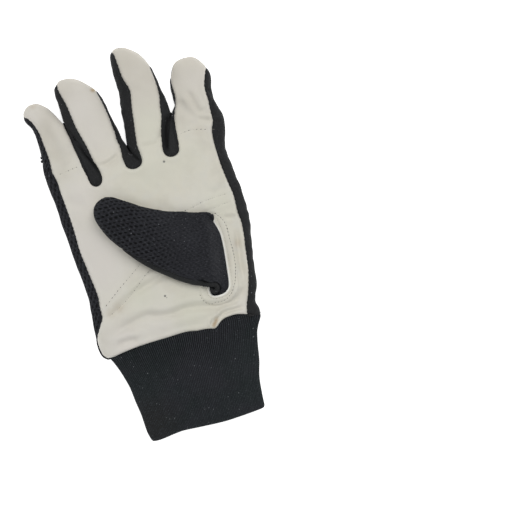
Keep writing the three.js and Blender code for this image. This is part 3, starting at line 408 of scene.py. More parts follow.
folds = [
    {"line": [(-57, -50.5), (-52, -46.2), (-45, -42.6), (-38, -40.2), (-30, -39.4), (-22, -41.4),
              (-14, -42.2), (-4, -41), (6, -42.6), (18, -45), (35, -45.6)],
     "width": 2.5, "depth": 1.7, "ridge": 1.0},
    {"line": [(-57, -35.6), (-51, -33.4), (-45, -29.6), (-37, -24.8), (-28, -21.6), (-17, -18.4), (-6, -17)],
     "width": 2.2, "depth": 1.3, "ridge": 1.1},
    {"line": [(10, -57.5), (12, -54), (16, -51.2), (20, -49.6), (28, -49.6), (33.4, -48.6)],
     "width": 1.2, "depth": 1.4, "ridge": 1.1},
    {"line": [(8.6, -56.4), (9.4, -53.6), (11, -51.4)], "width": 0.8, "depth": 0.94, "ridge": 0.68},
    {"line": [(-53, -55), (-48, -51.4), (-43.6, -51.4), (-38, -54)],
     "width": 1.9, "depth": 1.0, "ridge": 0.8},
    {"line": [(-44, -44.6), (-36, -44.4), (-28, -46.6)], "width": 2.4, "depth": 0.54, "ridge": 0.54},
    {"line": [(40.6, 2), (39.4, -6), (38.2, -14), (37.2, -22), (36.8, -30), (37.4, -36)],
     "width": 1.6, "depth": 1.5, "ridge": 1.1},
    {"line": [(22, -46.2), (27, -44.4), (32, -41), (36, -36)], "width": 1.8, "depth": 0.81, "ridge": 0.68},
    {"line": [(33.4, 9.6), (36, 8.6), (40, 7.6), (43, 8.2)], "width": 1.2, "depth": 0.68, "ridge": 0.41},
    {"line": [(24.6, 90), (27.4, 84), (31.4, 77.6), (36.4, 73.4)],
     "width": 2.6, "depth": 0.9, "ridge": 0.54},
    {"line": [(31.4, 94.6), (33.7, 87), (35.5, 81), (37.5, 77.1), (40.1, 75.4)],
     "width": 1.7, "depth": 1.05, "ridge": 0.9},
    {"line": [(33.5, 74.5), (36.5, 73.2), (40, 71.4), (43.4, 70)],
     "width": 1.3, "depth": 0.9, "ridge": 0.8},
    {"line": [(11.4, 74.4), (9.4, 70), (5, 66.6)], "width": 2.0, "depth": 0.9, "ridge": 0.5},
    {"line": [(-4, 104), (0, 102.4), (6, 101.6)], "width": 3.0, "depth": 0.47, "ridge": 0.27},
    {"line": [(-36, 62.2), (-31, 61.2), (-25.6, 62.6), (-19, 66.2)],
     "width": 1.2, "depth": 0.8, "ridge": 0.6},
    {"line": [(-5.4, 66.6), (1, 65.8), (8, 66)], "width": 1.4, "depth": 0.54, "ridge": 0.27},
    {"line": [(-64, 100), (-61.4, 92), (-59.4, 84), (-58.6, 76), (-58, 66)],
     "width": 4.0, "depth": 1.3, "ridge": 0.4},
    {"line": [(-61, 48), (-57, 44), (-52, 40), (-47, 39)], "width": 3.0, "depth": 0.47, "ridge": 0.41},
    {"line": [(30, 24.5), (36, 27), (41, 30)], "width": 2.4, "depth": 0.54, "ridge": 0.41},
]

stitchRows = {
    "aboveThumb": {"line": [(11.5, 19.6), (14.4, 20), (18.2, 20.8), (24, 22.1), (30.7, 22.9),
                            (41.4, 23.2)], "pitch": 2.7, "hole": 0.9},
    "besideThumb": {"line": [(20.7, 15.4), (24.8, 15.8), (31.5, 16.6), (36.4, 17.6), (42.6, 17)],
                    "pitch": 2.7, "hole": 0.7},
    "heelOuter": {"line": [(-22, -3.6), (-25.6, -6.3), (-33.1, -11.7), (-43.1, -18.6), (-48.1, -22.5),
                           (-53.5, -26.4), (-56.4, -28.3)], "pitch": 2.9, "hole": 1.0},
    "heelInner": {"line": [(-17, -8.6), (-20, -11), (-24.8, -14.6), (-31.4, -20), (-36.8, -24.2),
                           (-42.3, -27.9), (-46.8, -30.2), (-56, -34.4)], "pitch": 2.9, "hole": 1.0},
    "littleBase": {"line": [(-62.6, 62.4), (-55, 63.4), (-45.4, 64.8)], "pitch": 2.9, "hole": 1.3},
    "indexBase": {"line": [(21.6, 67.9), (28.8, 68.3), (35.6, 66.8), (42.4, 64.9)],
                  "pitch": 2.7, "hole": 1.15},
}
rimRows = {
    "inner": {"line": [(29.6, 9.6), (30.1, 6.8), (30.8, 2), (31.2, -3), (31, -9), (30.4, -16), (29.6, -24),
                       (29, -30), (28, -34.6), (25.8, -38), (22.4, -39.6), (18, -39.9), (14.2, -39.2),
                       (12.2, -37.2), (11.6, -34), (11.8, -31)], "pitch": 1.9, "hole": 0.5},
    "outer": {"line": [(29.6, 12.9), (32.4, 9), (33.8, 5.6), (34.4, 0.2), (34.2, -6.8), (34.3, -13.4),
                       (33.8, -19.7), (32.4, -26.4), (30.9, -31.2), (28.6, -35.8), (26.6, -38.6),
                       (23.6, -41.1), (20.6, -42.2), (17.6, -42.5), (15.4, -41.9), (13.4, -42.4),
                       (10.6, -42), (8.6, -40), (7.3, -37.5), (6.6, -32.9), (7.4, -28.8)],
              "pitch": 2.1, "hole": 1.0},
}
threads = {"length": 1.2, "radius": 0.22, "sunk": 0.14, "hole": (0.42, 0.27, 0.09)}

tones = {  # soft patches on the leather: x, y, radius and strength
    "pink": [(-58, 16, 20, 0.9), (-48, -4, 17, 0.8), (-49, -51, 14, 0.9), (-21, -48, 12, 0.6),
             (-37, 102, 15, 0.8), (-50, 46, 13, 0.8), (-30, 78, 14, 0.6), (-68, 103, 8, 0.7),
             (38, 100, 10, 0.5), (36, -50, 8, 0.7)],
    "olive": [(-5, 49, 17, 0.8), (-30, -25, 10, 0.9), (3, 79, 13, 0.8), (-2, -46, 12, 0.8),
              (34, 18, 12, 0.8), (22, 52, 14, 0.6), (4, -30, 14, 0.5)],
    # dirt patches, to which toneAt adds painted shade along the folds
    "soilAndCreaseShade": [(-63, 88, 5, 0.55), (-61, 76, 5, 0.6), (-58, 62, 6, 0.45), (-59, 98, 5, 0.3), (-44, 112, 7, 0.3),
             (-4, 124, 9, 0.35), (10, 72, 4, 0.45), (36, 106, 8, 0.25), (30, 84, 7, 0.3), (38, 60, 8, 0.25),
             (38, -8, 3, 0.2), (20, -46, 6, 0.3), (-6, 100, 5, 0.3)],
}


# strength * exp(-(distance / radius)^2) summed over the patches; the dark tone also gets painted shade along
# the folds
def toneAt(name, x, y):
    total = sum(s * np.exp(-((x - a) ** 2 + (y - b) ** 2) / r**2) for a, b, r, s in tones[name])
    if name == "soilAndCreaseShade":
        for fold in folds:
            dist, share, _ = lineDistance(x, y, drawLine(fold["line"], 2))
            ends = smooth(share, 0, 0.25) * smooth(1 - share, 0, 0.25)
            # painted shade: the leather darkened along the valley of each fold
            total = total + 0.16 * fold["depth"] * ends * np.exp(-(dist / (0.8 * fold["width"])) ** 2)
    return np.clip(total, 0, 1)


# The share of each tone at every point, for the material to read
def leatherTones(points):
    return [(name, toneAt(name, points[:, 0], points[:, 1])) for name in tones]


# Soft waves, and for each fold or stitched row a ridge less depth * exp(-(distance / width)^2)
def leatherRelief(x, y):
    lift = 0.16 * waves(x, y, 4, 14, 46) + 0.05 * waves(x, y, 9, 5, 11)
    palm = smooth(y, -58, -40) * (1 - smooth(y, 40, 60))
    lift = lift + 0.5 * palm * waves(x, y, 21, 34, 90)
    # the palm lies lower under the thumb, and swells in a roll beside the cuff
    alongThumb = (x + 6) * 0.82 - (y - 6) * 0.57
    acrossThumb = (x + 6) * 0.57 + (y - 6) * 0.82
    lift = lift - 1.5 * np.exp(-(alongThumb / 46) ** 4 - (acrossThumb / 22) ** 2)
    lift = lift + 0.9 * np.exp(-((x + 22) / 36) ** 4 - ((y + 47.5) / 4.5) ** 2)
    for fold in folds:
        dist, share, side = lineDistance(x, y, drawLine(fold["line"], 2))
        ends = smooth(share, 0, 0.25) * smooth(1 - share, 0, 0.25)
        valley = fold["depth"] * np.exp(-(dist / fold["width"]) ** 2)
        ridge = fold["ridge"] * np.exp(-((dist - 2.2 * fold["width"]) / (1.2 * fold["width"])) ** 2)
        lift = lift + ends * (ridge * (0.6 + 0.4 * side) - valley)
    for row in stitchRows.values():
        dist, share, side = lineDistance(x, y, drawLine(row["line"], 1.5))
        ends = smooth(share, 0, 0.04) * smooth(1 - share, 0, 0.04)
        pull = 0.75 + 0.25 * np.cos(2 * np.pi * share * (len(drawLine(row["line"], row["pitch"])) - 1))
        lift = lift - ends * pull * 0.24 * np.exp(-(dist / 0.6) ** 2)
        lift = lift + ends * 0.08 * np.exp(-((dist - 1.7) / 1.1) ** 2)
    return lift


# Building a mesh from grids of points

# One list of points and faces from grids of rows of (x, y, z, u, v). Equal points are joined.
def weld(grids):
    points = np.concatenate([g.reshape(-1, g.shape[-1]) for g in grids])
    key = np.round(points[:, :3] * 200).astype(np.int64)
    _, first, ids = np.unique(key, axis=0, return_index=True, return_inverse=True)
    ids = ids.reshape(-1)
    found, start = [], 0
    for g in grids:
        r, c = g.shape[:2]
        n = ids[start:start + r * c].reshape(r, c)
        start += r * c
        found.append(np.stack([n[:-1, :-1], n[:-1, 1:], n[1:, 1:], n[1:, :-1]], -1).reshape(-1, 4))
    return points[first], found


# Cross product of the two diagonals of each quad
def faceVectors(points, quads):
    p = points[:, :3]
    return np.cross(p[quads[:, 2]] - p[quads[:, 0]], p[quads[:, 3]] - p[quads[:, 1]])


# Unit sum of the face vectors round each point
def vertexNormals(points, quads):
    n = faceVectors(points, quads)
    total = np.zeros((len(points), 3))
    for k in range(4):
        for axis in range(3):
            total[:, axis] += np.bincount(quads[:, k], n[:, axis], len(points))
    return total / np.maximum(np.linalg.norm(total, axis=1, keepdims=True), 1e-9)


# Pairs of points that only one face uses
def openEdges(quads):
    e = np.concatenate([quads[:, [k, (k + 1) % 4]] for k in range(4)])
    e = np.sort(e[e[:, 0] != e[:, 1]], axis=1)
    pairs, count = np.unique(e, axis=0, return_counts=True)
    return pairs[count == 1]


# Distance of every point to the open edge of its surface
def edgeDistance(points, quads):
    edge = points[np.unique(openEdges(quads)), :3]
    nearest = [np.sqrt(((part[:, None, :3] - edge[None]) ** 2).sum(-1).min(1))
               for part in np.array_split(points, max(len(points) * len(edge) // 4000000, 1))]
    return np.concatenate(nearest)


# Welded points and quads facing outwards: away from the height 'middle', or along 'up'
def surface(grids, middle=None, up=None):
    points, found = weld(grids)
    facing = []
    for quads in found:
        n = faceVectors(points, quads)
        z = points[quads, 2].mean(1)
        toward = n[:, 2] * (z - middle) if up is None else n[:, 2] * up
        facing.append(quads[:, ::-1] if toward.sum() < 0 else quads)
    return points, np.concatenate(facing)


# A mesh object of quads, or triangles where two corners of a quad are one point
def makeMesh(name, points, quads, attributes=(), uv=True):
    same = [quads[:, k] == quads[:, (k + 1) % 4] for k in range(4)]
    whole = ~np.any(same, axis=0)
    parts = [quads[whole]]
    for k in range(4):
        rest = same[k] & ~np.any([same[j] for j in range(k)], axis=0) if k else same[0]
        three = np.delete(quads[rest], k, axis=1)
        apart = np.all([three[:, j] != three[:, (j + 1) % 3] for j in range(3)], axis=0)
        parts.append(three[apart])
    sizes = np.concatenate([np.full(len(p), p.shape[1]) for p in parts])
    corners = np.concatenate([p.reshape(-1) for p in parts])
    mesh = bpy.data.meshes.new(name)
    mesh.vertices.add(len(points))
    mesh.vertices.foreach_set("co", ((points[:, :3] + offset) / 1000).astype(np.float32).ravel())
    mesh.loops.add(len(corners))
    mesh.loops.foreach_set("vertex_index", corners.astype(np.int32))
    mesh.polygons.add(len(sizes))
    mesh.polygons.foreach_set("loop_start", np.r_[0, np.cumsum(sizes)[:-1]].astype(np.int32))
    mesh.polygons.foreach_set("use_smooth", np.ones(len(sizes), bool))
    if uv:
        layer = mesh.uv_layers.new(name="cloth")
        layer.data.foreach_set("uv", points[corners, 3:5].astype(np.float32).ravel())
    for label, values in attributes:
        data = mesh.attributes.new(label, "FLOAT", "POINT")
        data.data.foreach_set("value", values.astype(np.float32))
    mesh.update(calc_edges=True)
    mesh.validate()
    piece = bpy.data.objects.new(name, mesh)
    bpy.context.scene.collection.objects.link(piece)
    return piece


# Gives a piece its material and wall thickness and hands it to the frame
def finishPiece(piece, material, nodes, thickness=0.0):
    piece.data.materials.append(material)
    if thickness:
        wall = piece.modifiers.new("Wall", "SOLIDIFY")
        wall.thickness = thickness / 1000
        wall.offset = -1
        wall.use_rim = True
    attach(piece, "root")
    if nodes:
        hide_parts(*nodes)
    return piece


# A grid of points whose cloth coordinates are their place seen from above
def withPlan(x, y, z):
    return np.stack([x, y, z, x, y], -1)


# Every point moved out along its normal: p + n * height
def drape(points, quads, height):
    moved = points.copy()
    moved[:, :3] += vertexNormals(points, quads) * height[:, None]
    return moved


print("outline and skin ready")


# Materials

# A new material with its node tree and its main shader
def newMaterial(name):
    material = bpy.data.materials.new(name)
    material.use_nodes = True
    tree = material.node_tree
    return material, tree, tree.nodes["Principled BSDF"]


# One flat colour
def plainMaterial(name, colour, roughness):
    material, _, skin = newMaterial(name)
    skin.inputs["Base Color"].default_value = colour
    skin.inputs["Roughness"].default_value = roughness
    return material


# A new node with its inputs linked or set
def node(tree, kind, inputs=None, **settings):
    made = tree.nodes.new(kind)
    for key, value in settings.items():
        setattr(made, key, value)
    for key, value in (inputs or {}).items():
        if isinstance(value, bpy.types.NodeSocket):
            tree.links.new(value, made.inputs[key])
        else:
            made.inputs[key].default_value = value
    return made


# The result of one sum
def mathNode(tree, operation, a, b=0.0, c=0.0):
    return node(tree, "ShaderNodeMath", {0: a, 1: b, 2: c}, operation=operation).outputs[0]


# Colour a mixed with a share of colour b
def mixColour(tree, share, a, b):
    made = node(tree, "ShaderNodeMix", data_type="RGBA", blend_type="MIX")
    for index, value in ((0, share), (6, a), (7, b)):
        if isinstance(value, bpy.types.NodeSocket):
            tree.links.new(value, made.inputs[index])
        else:
            made.inputs[index].default_value = value
    return made.outputs[2]


# A value times a fixed number or another value
def times(tree, a, b):
    return mathNode(tree, "MULTIPLY", a, b)


# Soft noise of a scale, in cells to a metre, and a number of finer layers
def noise(tree, place, scale, detail):
    made = node(tree, "ShaderNodeTexNoise", {"Vector": place, "Scale": scale, "Detail": detail})
    return made.outputs["Fac"]


# Smoothly from 0 at low to 1 at high
def ramp(tree, value, low, high):
    return node(tree, "ShaderNodeMapRange", {"Value": value, "From Min": low, "From Max": high},
                interpolation_type="SMOOTHSTEP").outputs[0]


# 1 inside a round spot at (x, y) of the hand's layout, 0 outside it
def spot(tree, place, x, y, radius, soft):
    at = ((x + offset[0]) / 1000, (y + offset[1]) / 1000, 0)
    flat = node(tree, "ShaderNodeVectorMath", {0: place, 1: (1, 1, 0)}, operation="MULTIPLY").outputs[0]
    reach = node(tree, "ShaderNodeVectorMath", {0: flat, 1: at}, operation="DISTANCE").outputs["Value"]
    return ramp(tree, reach, (radius + soft) / 1000, (radius - soft) / 1000)


leatherLook = {
    "base": (0.672, 0.652, 0.588, 1),
    "warm": (0.662, 0.634, 0.555, 1),
    "cool": (0.64, 0.63, 0.595, 1),
    "tips": (0.575, 0.54, 0.485, 1),
    "tipsFrom": (45, 110),  # y where the darker fingertips begin and are at their darkest
    "stain": (0.43, 0.33, 0.21, 1),
    "speck": (0.17, 0.17, 0.16, 1),
    # x, y, radius and strength of each
    "stains": [(-45, -29, 3.2, 0.25), (10.2, -56, 1.1, 1.0), (11.2, -54.7, 1.1, 1.0), (12.2, -53.4, 1.1, 0.9),
               (13, -52, 1.3, 0.4), (38.4, -9, 2.2, 0.25), (33, 66.6, 3.5, 0.12), (-25.6, 109.4, 1.4, 1.0),
               (-65.4, 109.4, 1.8, 0.3), (-51.5, -31.5, 2.6, 0.25)],
    "specks": [(-15, -29.7, 0.65, 1.0), (6.5, 53.2, 0.7, 1.0), (-14.2, -31, 0.35, 0.6)],
    # pale cut edge round the keyhole, made whiter as a painted highlight along its rolled crest
    "cut": (0.93, 0.925, 0.88, 1),
    "pink": (0.675, 0.645, 0.605, 1),
    "olive": (0.652, 0.643, 0.556, 1),
    # colour of the dirt patches and of the painted shade along the folds, also used for the clouds
    "soilAndCreaseShade": (0.48, 0.45, 0.385, 1),
}


# Pale leather: two broad tones, fine mottling and clouds, then tones with painted shade along the folds and a
# painted highlight round the keyhole, stains, specks and grain
def leatherMaterial(name, look):
    material, tree, skin = newMaterial(name)
    place = node(tree, "ShaderNodeTexCoord").outputs["Object"]
    broad = noise(tree, place, 22.0, 3.0)
    fine = noise(tree, place, 160.0, 4.0)
    clouds = noise(tree, place, 70.0, 5.0)
    colour = mixColour(tree, ramp(tree, broad, 0.4, 0.68), look["base"], look["warm"])
    colour = mixColour(tree, times(tree, ramp(tree, fine, 0.45, 0.75), 0.5), colour, look["cool"])
    colour = mixColour(tree, times(tree, ramp(tree, clouds, 0.46, 0.7), 0.3), colour, look["soilAndCreaseShade"])
    along = node(tree, "ShaderNodeSeparateXYZ", {0: place}).outputs["Y"]
    tipLow, tipHigh = ((value + offset[1]) / 1000 for value in look["tipsFrom"])
    colour = mixColour(tree, times(tree, ramp(tree, along, tipLow, tipHigh), 0.75), colour, look["tips"])
    # the dark tone brings dirt patches and painted shade along the folds, the cut share the pale keyhole edge
    # with its painted highlight
    for tone, share in (("pink", 1.0), ("olive", 1.0), ("soilAndCreaseShade", 0.5), ("cut", 1.0)):
        amount = node(tree, "ShaderNodeAttribute", attribute_name=tone).outputs["Fac"]
        colour = mixColour(tree, times(tree, amount, share), colour, look[tone])
    for x, y, radius, strength in look["stains"]:
        wet = times(tree, spot(tree, place, x, y, radius, radius * 0.9), strength)
        wet = times(tree, wet, ramp(tree, fine, 0.25, 0.6))
        colour = mixColour(tree, wet, colour, look["stain"])
    for x, y, radius, strength in look["specks"]:
        dot = times(tree, spot(tree, place, x, y, radius, radius * 0.5), strength)
        colour = mixColour(tree, dot, colour, look["speck"])
    tree.links.new(colour, skin.inputs["Base Color"])
    skin.inputs["Roughness"].default_value = 0.68
    skin.inputs["Specular IOR Level"].default_value = 0.3
    skin.inputs["Sheen Weight"].default_value = 0.15
    skin.inputs["Sheen Roughness"].default_value = 0.5
    grain = node(tree, "ShaderNodeTexVoronoi", {"Vector": place, "Scale": 1500.0},
                 feature="F1").outputs["Distance"]
    rough = mathNode(tree, "ADD", times(tree, grain, 0.35), noise(tree, place, 320.0, 5.0))
    bump = node(tree, "ShaderNodeBump", {"Height": rough, "Strength": 0.35, "Distance": 0.0003})
    tree.links.new(bump.outputs[0], skin.inputs["Normal"])
    return material


lintColour = (0.26, 0.27, 0.29, 1)


# Pale dust and fibres caught on dark cloth: the middles of a few cells of a fine pattern
def lint(tree, u, v, colour, amount):
    place = node(tree, "ShaderNodeCombineXYZ", {0: u, 1: v}).outputs[0]
    cells = node(tree, "ShaderNodeTexVoronoi", {"Vector": place, "Scale": 0.5, "Randomness": 1.0},
                 voronoi_dimensions="2D", feature="F1")
    dice = node(tree, "ShaderNodeTexWhiteNoise", {"Vector": cells.outputs["Position"]})
    green = node(tree, "ShaderNodeSeparateColor", {0: dice.outputs["Color"]}).outputs[1]
    reach = mathNode(tree, "SUBTRACT", cells.outputs["Distance"], times(tree, green, 0.1))
    small = ramp(tree, reach, 0.08, 0.02)
    fleck = times(tree, small, mathNode(tree, "GREATER_THAN", dice.outputs["Value"], 1 - amount))
    return mixColour(tree, times(tree, fleck, 0.6), colour, lintColour)


# The two cloth coordinates of a piece, in millimetres
def clothCoordinates(tree):
    flat = node(tree, "ShaderNodeUVMap", uv_map="cloth").outputs["UV"]
    parts = node(tree, "ShaderNodeSeparateXYZ", {0: flat})
    return parts.outputs["X"], parts.outputs["Y"]


# Dark cloth: loops of yarn, pale fuzz with painted glints, painted shade in holes, creases and rib valleys, a
# patch of painted shade where given, and specks of lint
def clothMaterial(name, look):
    material, tree, skin = newMaterial(name)
    place = node(tree, "ShaderNodeTexCoord").outputs["Object"]
    u, v = clothCoordinates(tree)
    wales = mathNode(tree, "SINE", times(tree, u, 2 * math.pi / look["wale"]))
    courses = mathNode(tree, "SINE", times(tree, v, 2 * math.pi / look["course"]))
    loops = times(tree, wales, courses)
    weave = mathNode(tree, "ADD", times(tree, wales, 0.6), times(tree, loops, 0.4))
    broad = noise(tree, place, 40.0, 3.0)
    if "streak" in look:  # yarns lying one way: noise on cloth coordinates turned and drawn out
        cloth = node(tree, "ShaderNodeCombineXYZ", {0: u, 1: v}).outputs[0]
        turn = (0, 0, -math.radians(look["streak"]))
        turned = node(tree, "ShaderNodeMapping", {"Vector": cloth, "Rotation": turn}).outputs[0]
        drawn = node(tree, "ShaderNodeMapping", {"Vector": turned, "Scale": (0.6, 2.3, 1)}).outputs[0]
        fuzzAndGlints = noise(tree, drawn, 1.0, 3.0)
    else:
        fuzzAndGlints = noise(tree, place, 1500.0, 3.0)
    colour = mixColour(tree, ramp(tree, broad, 0.35, 0.7), look["dark"], look["light"])
    # a patch of painted shade, where the look gives one
    if "shadePatch" in look:
        x, y, radius, shadePatch = look["shadePatch"]
        shadeShare = times(tree, spot(tree, place, x, y, radius, radius * 0.8), 0.7)
        colour = mixColour(tree, shadeShare, colour, shadePatch)
    # pale fuzz and painted glints: lighter specks and streaks on the yarn
    colour = mixColour(tree, ramp(tree, fuzzAndGlints, 0.48, 0.72), colour, look["fuzzAndGlints"])
    # painted shade: the hole share darkens the cloth in the mesh holes, the knit creases and the rib valleys
    hole = node(tree, "ShaderNodeAttribute", attribute_name="hole").outputs["Fac"]
    colour = mixColour(tree, hole, colour, look["hole"])
    colour = lint(tree, u, v, colour, look["lint"])
    tree.links.new(colour, skin.inputs["Base Color"])
    skin.inputs["Roughness"].default_value = look["roughness"]
    skin.inputs["Specular IOR Level"].default_value = 0.2
    skin.inputs["Sheen Weight"].default_value = look["sheen"]
    skin.inputs["Sheen Roughness"].default_value = 0.45
    skin.inputs["Sheen Tint"].default_value = (0.8, 0.85, 0.9, 1)
    bump = node(tree, "ShaderNodeBump", {"Height": weave, "Strength": look["bump"], "Distance": 0.00012})
    second = node(tree, "ShaderNodeBump", {"Height": fuzzAndGlints, "Strength": 0.35, "Distance": 0.0002,
                                           "Normal": bump.outputs[0]})
    tree.links.new(second.outputs[0], skin.inputs["Normal"])
    return material


# Wale and course are the widths of a loop in millimetres, lint the share of cells with a pale fleck
# The hole colour is painted shade in holes, creases and rib valleys; the fuzz colour is pale fuzz with
# painted glints.
knitLook = {
    "dark": (0.0145, 0.015, 0.016, 1), "light": (0.0195, 0.0203, 0.0215, 1),
    "fuzzAndGlints": (0.032, 0.033, 0.035, 1), "hole": (0.002, 0.002, 0.0025, 1),
    "wale": 0.55, "course": 0.45, "roughness": 0.85, "sheen": 0.05, "bump": 0.6, "lint": 0.03,
}
meshLook = {
    "dark": (0.0115, 0.012, 0.0155, 1), "light": (0.017, 0.0178, 0.0225, 1),
    "fuzzAndGlints": (0.05, 0.052, 0.061, 1), "hole": (0.001, 0.001, 0.0016, 1),
    "wale": 0.8, "course": 0.65, "roughness": 0.8, "sheen": 0.05, "bump": 0.8, "lint": 0.045,
    "streak": -24.0,  # degrees that its yarns are turned
}
ribLook = {
    "dark": (0.020, 0.0265, 0.0285, 1), "light": (0.030, 0.0305, 0.038, 1),
    "fuzzAndGlints": (0.055, 0.063, 0.071, 1), "hole": (0.003, 0.004, 0.0045, 1),
    "wale": 0.5, "course": 0.42, "roughness": 0.9, "sheen": 0.05, "bump": 0.7, "lint": 0.05,
    "shadePatch": (-43, -106, 14, (0.024, 0.0225, 0.0225, 1)),  # x, y, radius and colour of a patch of painted shade, darker and warmer
}

leather = leatherMaterial("Leather", leatherLook)
knit = clothMaterial("Knit", knitLook)
airMesh = clothMaterial("AirMesh", meshLook)
ribKnit = clothMaterial("RibKnit", ribLook)

thread = plainMaterial("Thread", (0.5, 0.485, 0.43, 1), 0.7)
# painted shade: the dark of the needle holes, laid on small rods over the leather
pitShade = plainMaterial("NeedleHoles", (0.1, 0.095, 0.085, 1), 0.9)

print("materials ready")


# The leather of the palm and the finger fronts

panel = {
    "step": 0.72, "wall": 1.0,
    "seamSink": 0.55, "seamPuff": 0.3,            # how far its edge is sunk, and the puff beside it
    "wrist": -55, "rowsFrom": -50, "rowsTo": 44,  # y of the straight rows
    "climb": 12,                                  # length over which they bend to the fingers' bases
    "cutArc": 18,                                 # rough length of the round cut between two fingers
    "slitFoot": (17, -54),                        # where the keyhole's line meets the wrist seam
}


# Steps across a panel, a little closer at its two edges: 0.55 v + 0.45 (1 - cos(pi v)) / 2
def shares(count):
    v = np.linspace(0, 1, count)
    return 0.55 * v + 0.45 * (1 - np.cos(np.pi * v)) / 2


# Shares of the way from a finger's base to its tip, close together where the tip is round
def fingerSteps(finger, step):
    length = finger["tip"][1] - finger["base"][0]
    straight = np.linspace(0, length - 7, int((length - 7) / step) + 1)
    s = np.linspace(math.sqrt(7), 0, int(math.sqrt(7) / 0.16) + 1)[1:]
    return np.r_[straight, length - s * s] / length


# The upper edge of the palm: finger bases and round cuts in turn, from the little finger side
def leatherTop(step):
    xs, ys, spans = [], [], []
    for k, finger in enumerate(fingers):
        left, right = seamOf(finger, "left", finger["base"][0]), seamOf(finger, "right", finger["base"][1])
        share = shares(int((right - left) / step) + 1)
        spans.append((len(xs), len(xs) + len(share)))
        xs += list(left + (right - left) * share)
        ys += list(finger["base"][0] + (finger["base"][1] - finger["base"][0]) * share)
        if k < len(gaps):
            after = fingers[k + 1]
            toX, toY = seamOf(after, "left", after["base"][0]), after["base"][0]
            arc = np.linspace(0, 1, int(panel["cutArc"] / step))[1:-1]
            xs += list(xs[-1] + (toX - xs[-1]) * (1 - np.cos(np.pi * arc)) / 2)
            ys += list(ys[-1] + (toY - ys[-1]) * arc - gaps[k]["cut"] * np.sin(np.pi * arc))
    return np.array(xs), np.array(ys), spans


# Two grids for the palm, one on each side of the keyhole, and one for the front of each finger
def leatherGrids(step):
    topX, topY, spans = leatherTop(step)
    split = spans[3][0] + int(0.4 * (spans[3][1] - spans[3][0]))
    (lowX, holeLow), (highX, holeHigh) = keyhole["right"][0], keyhole["right"][-1]
    footX, footY = panel["slitFoot"]

    def line(y, side):  # the line that the keyhole lies on
        below = footX + (lowX - footX) * smooth(y, footY, holeLow)
        above = highX + (topX[split] - highX) * smooth(y, holeHigh, topY[split])
        return np.where(y <= holeLow, below, np.where(y >= holeHigh, above, holeEdge(side, y)))

    near = holeLow + np.array([0.05, 0.2, 0.45, 0.8, 1.3, 1.9])
    levels = np.r_[np.arange(panel["rowsFrom"], holeLow, step), holeLow, near,
                   np.arange(near[-1] + step, holeHigh - 0.3, step),
                   np.arange(holeHigh, panel["rowsTo"], step)]
    grids = []
    for first, last, low, high in (
        (0, split, lambda y: palmAt("seamLeft", y), lambda y: line(y, "left")),
        (split, len(topX) - 1, lambda y: line(y, "right"), lambda y: palmAt("seamRight", y)),
    ):
        x0, y0 = topX[first:last + 1], topY[first:last + 1]
        share = (x0 - low(y0)) / (high(y0) - low(y0))
        seamX = low(panel["wrist"]) + (high(panel["wrist"]) - low(panel["wrist"])) * share
        rise = np.linspace(0, 1, 10)[:-1, None]
        seamY = wristY(seamX)[None] * (1 - rise) + panel["rowsFrom"] * rise
        middle = np.repeat(levels[:, None], len(share), 1)
        climb = np.linspace(0, 1, int(panel["climb"] / step))[1:, None]
        toTop = levels[-1] * (1 - climb) + y0[None] * climb
        y = np.concatenate([seamY, middle, toTop])
        x = low(y) + (high(y) - low(y)) * share[None]
        grids.append(withPlan(x, y, topZ(x, y)))
    for k, finger in enumerate(fingers):
        count = spans[k][1] - spans[k][0]
        t = fingerSteps(finger, step)[:, None]
        tip = finger["tip"][1] - 0.01
        lowY = finger["base"][0] + (tip - finger["base"][0]) * t
        highY = finger["base"][1] + (tip - finger["base"][1]) * t
        left, right = seamOf(finger, "left", lowY), seamOf(finger, "right", highY)
        share = shares(count)[None]
        x, y = left + (right - left) * share, lowY + (highY - lowY) * share
        grids.append(withPlan(x, y, topZ(x, y)))
    return grids


points, quads = surface(leatherGrids(panel["step"]), up=1)
edge = edgeDistance(points, quads)
relief = leatherRelief(points[:, 0], points[:, 1])
relief = relief + panel["seamPuff"] * np.exp(-((edge - 2.0) / 1.3) ** 2)
points = drape(points, quads, relief * smooth(edge, -1, 1.2))
points[:, 2] -= panel["seamSink"] * np.exp(-(edge / 0.55) ** 2)
piece = makeMesh("PalmLeather", points, quads, leatherTones(points))
finishPiece(piece, leather, ["palm_leather"], panel["wall"])
print("palm leather", len(quads))


# Black strips that wrap round the sides, from the leather's seam over the outline to the seam of the back

strip = {
    "step": 0.6, "columns": 19, "wall": 1.0, "seamSink": 0.6, "puff": 0.3,
    "wrist": -57.0, "rowsFrom": -56,  # y of the index side strip's end and of its first row
    "creases": [  # those of the index side strip
        {"line": [(44.6, 93), (46.4, 86), (45.4, 79), (44.4, 73)],
         "near": 0.8, "far": 1.4, "depth": 0.7, "deep": 1},
        {"line": [(43.6, 71.4), (45.6, 69.6), (48, 69)],
         "near": 0.7, "far": 0.9, "depth": 0.5, "deep": 1},
    ],
}


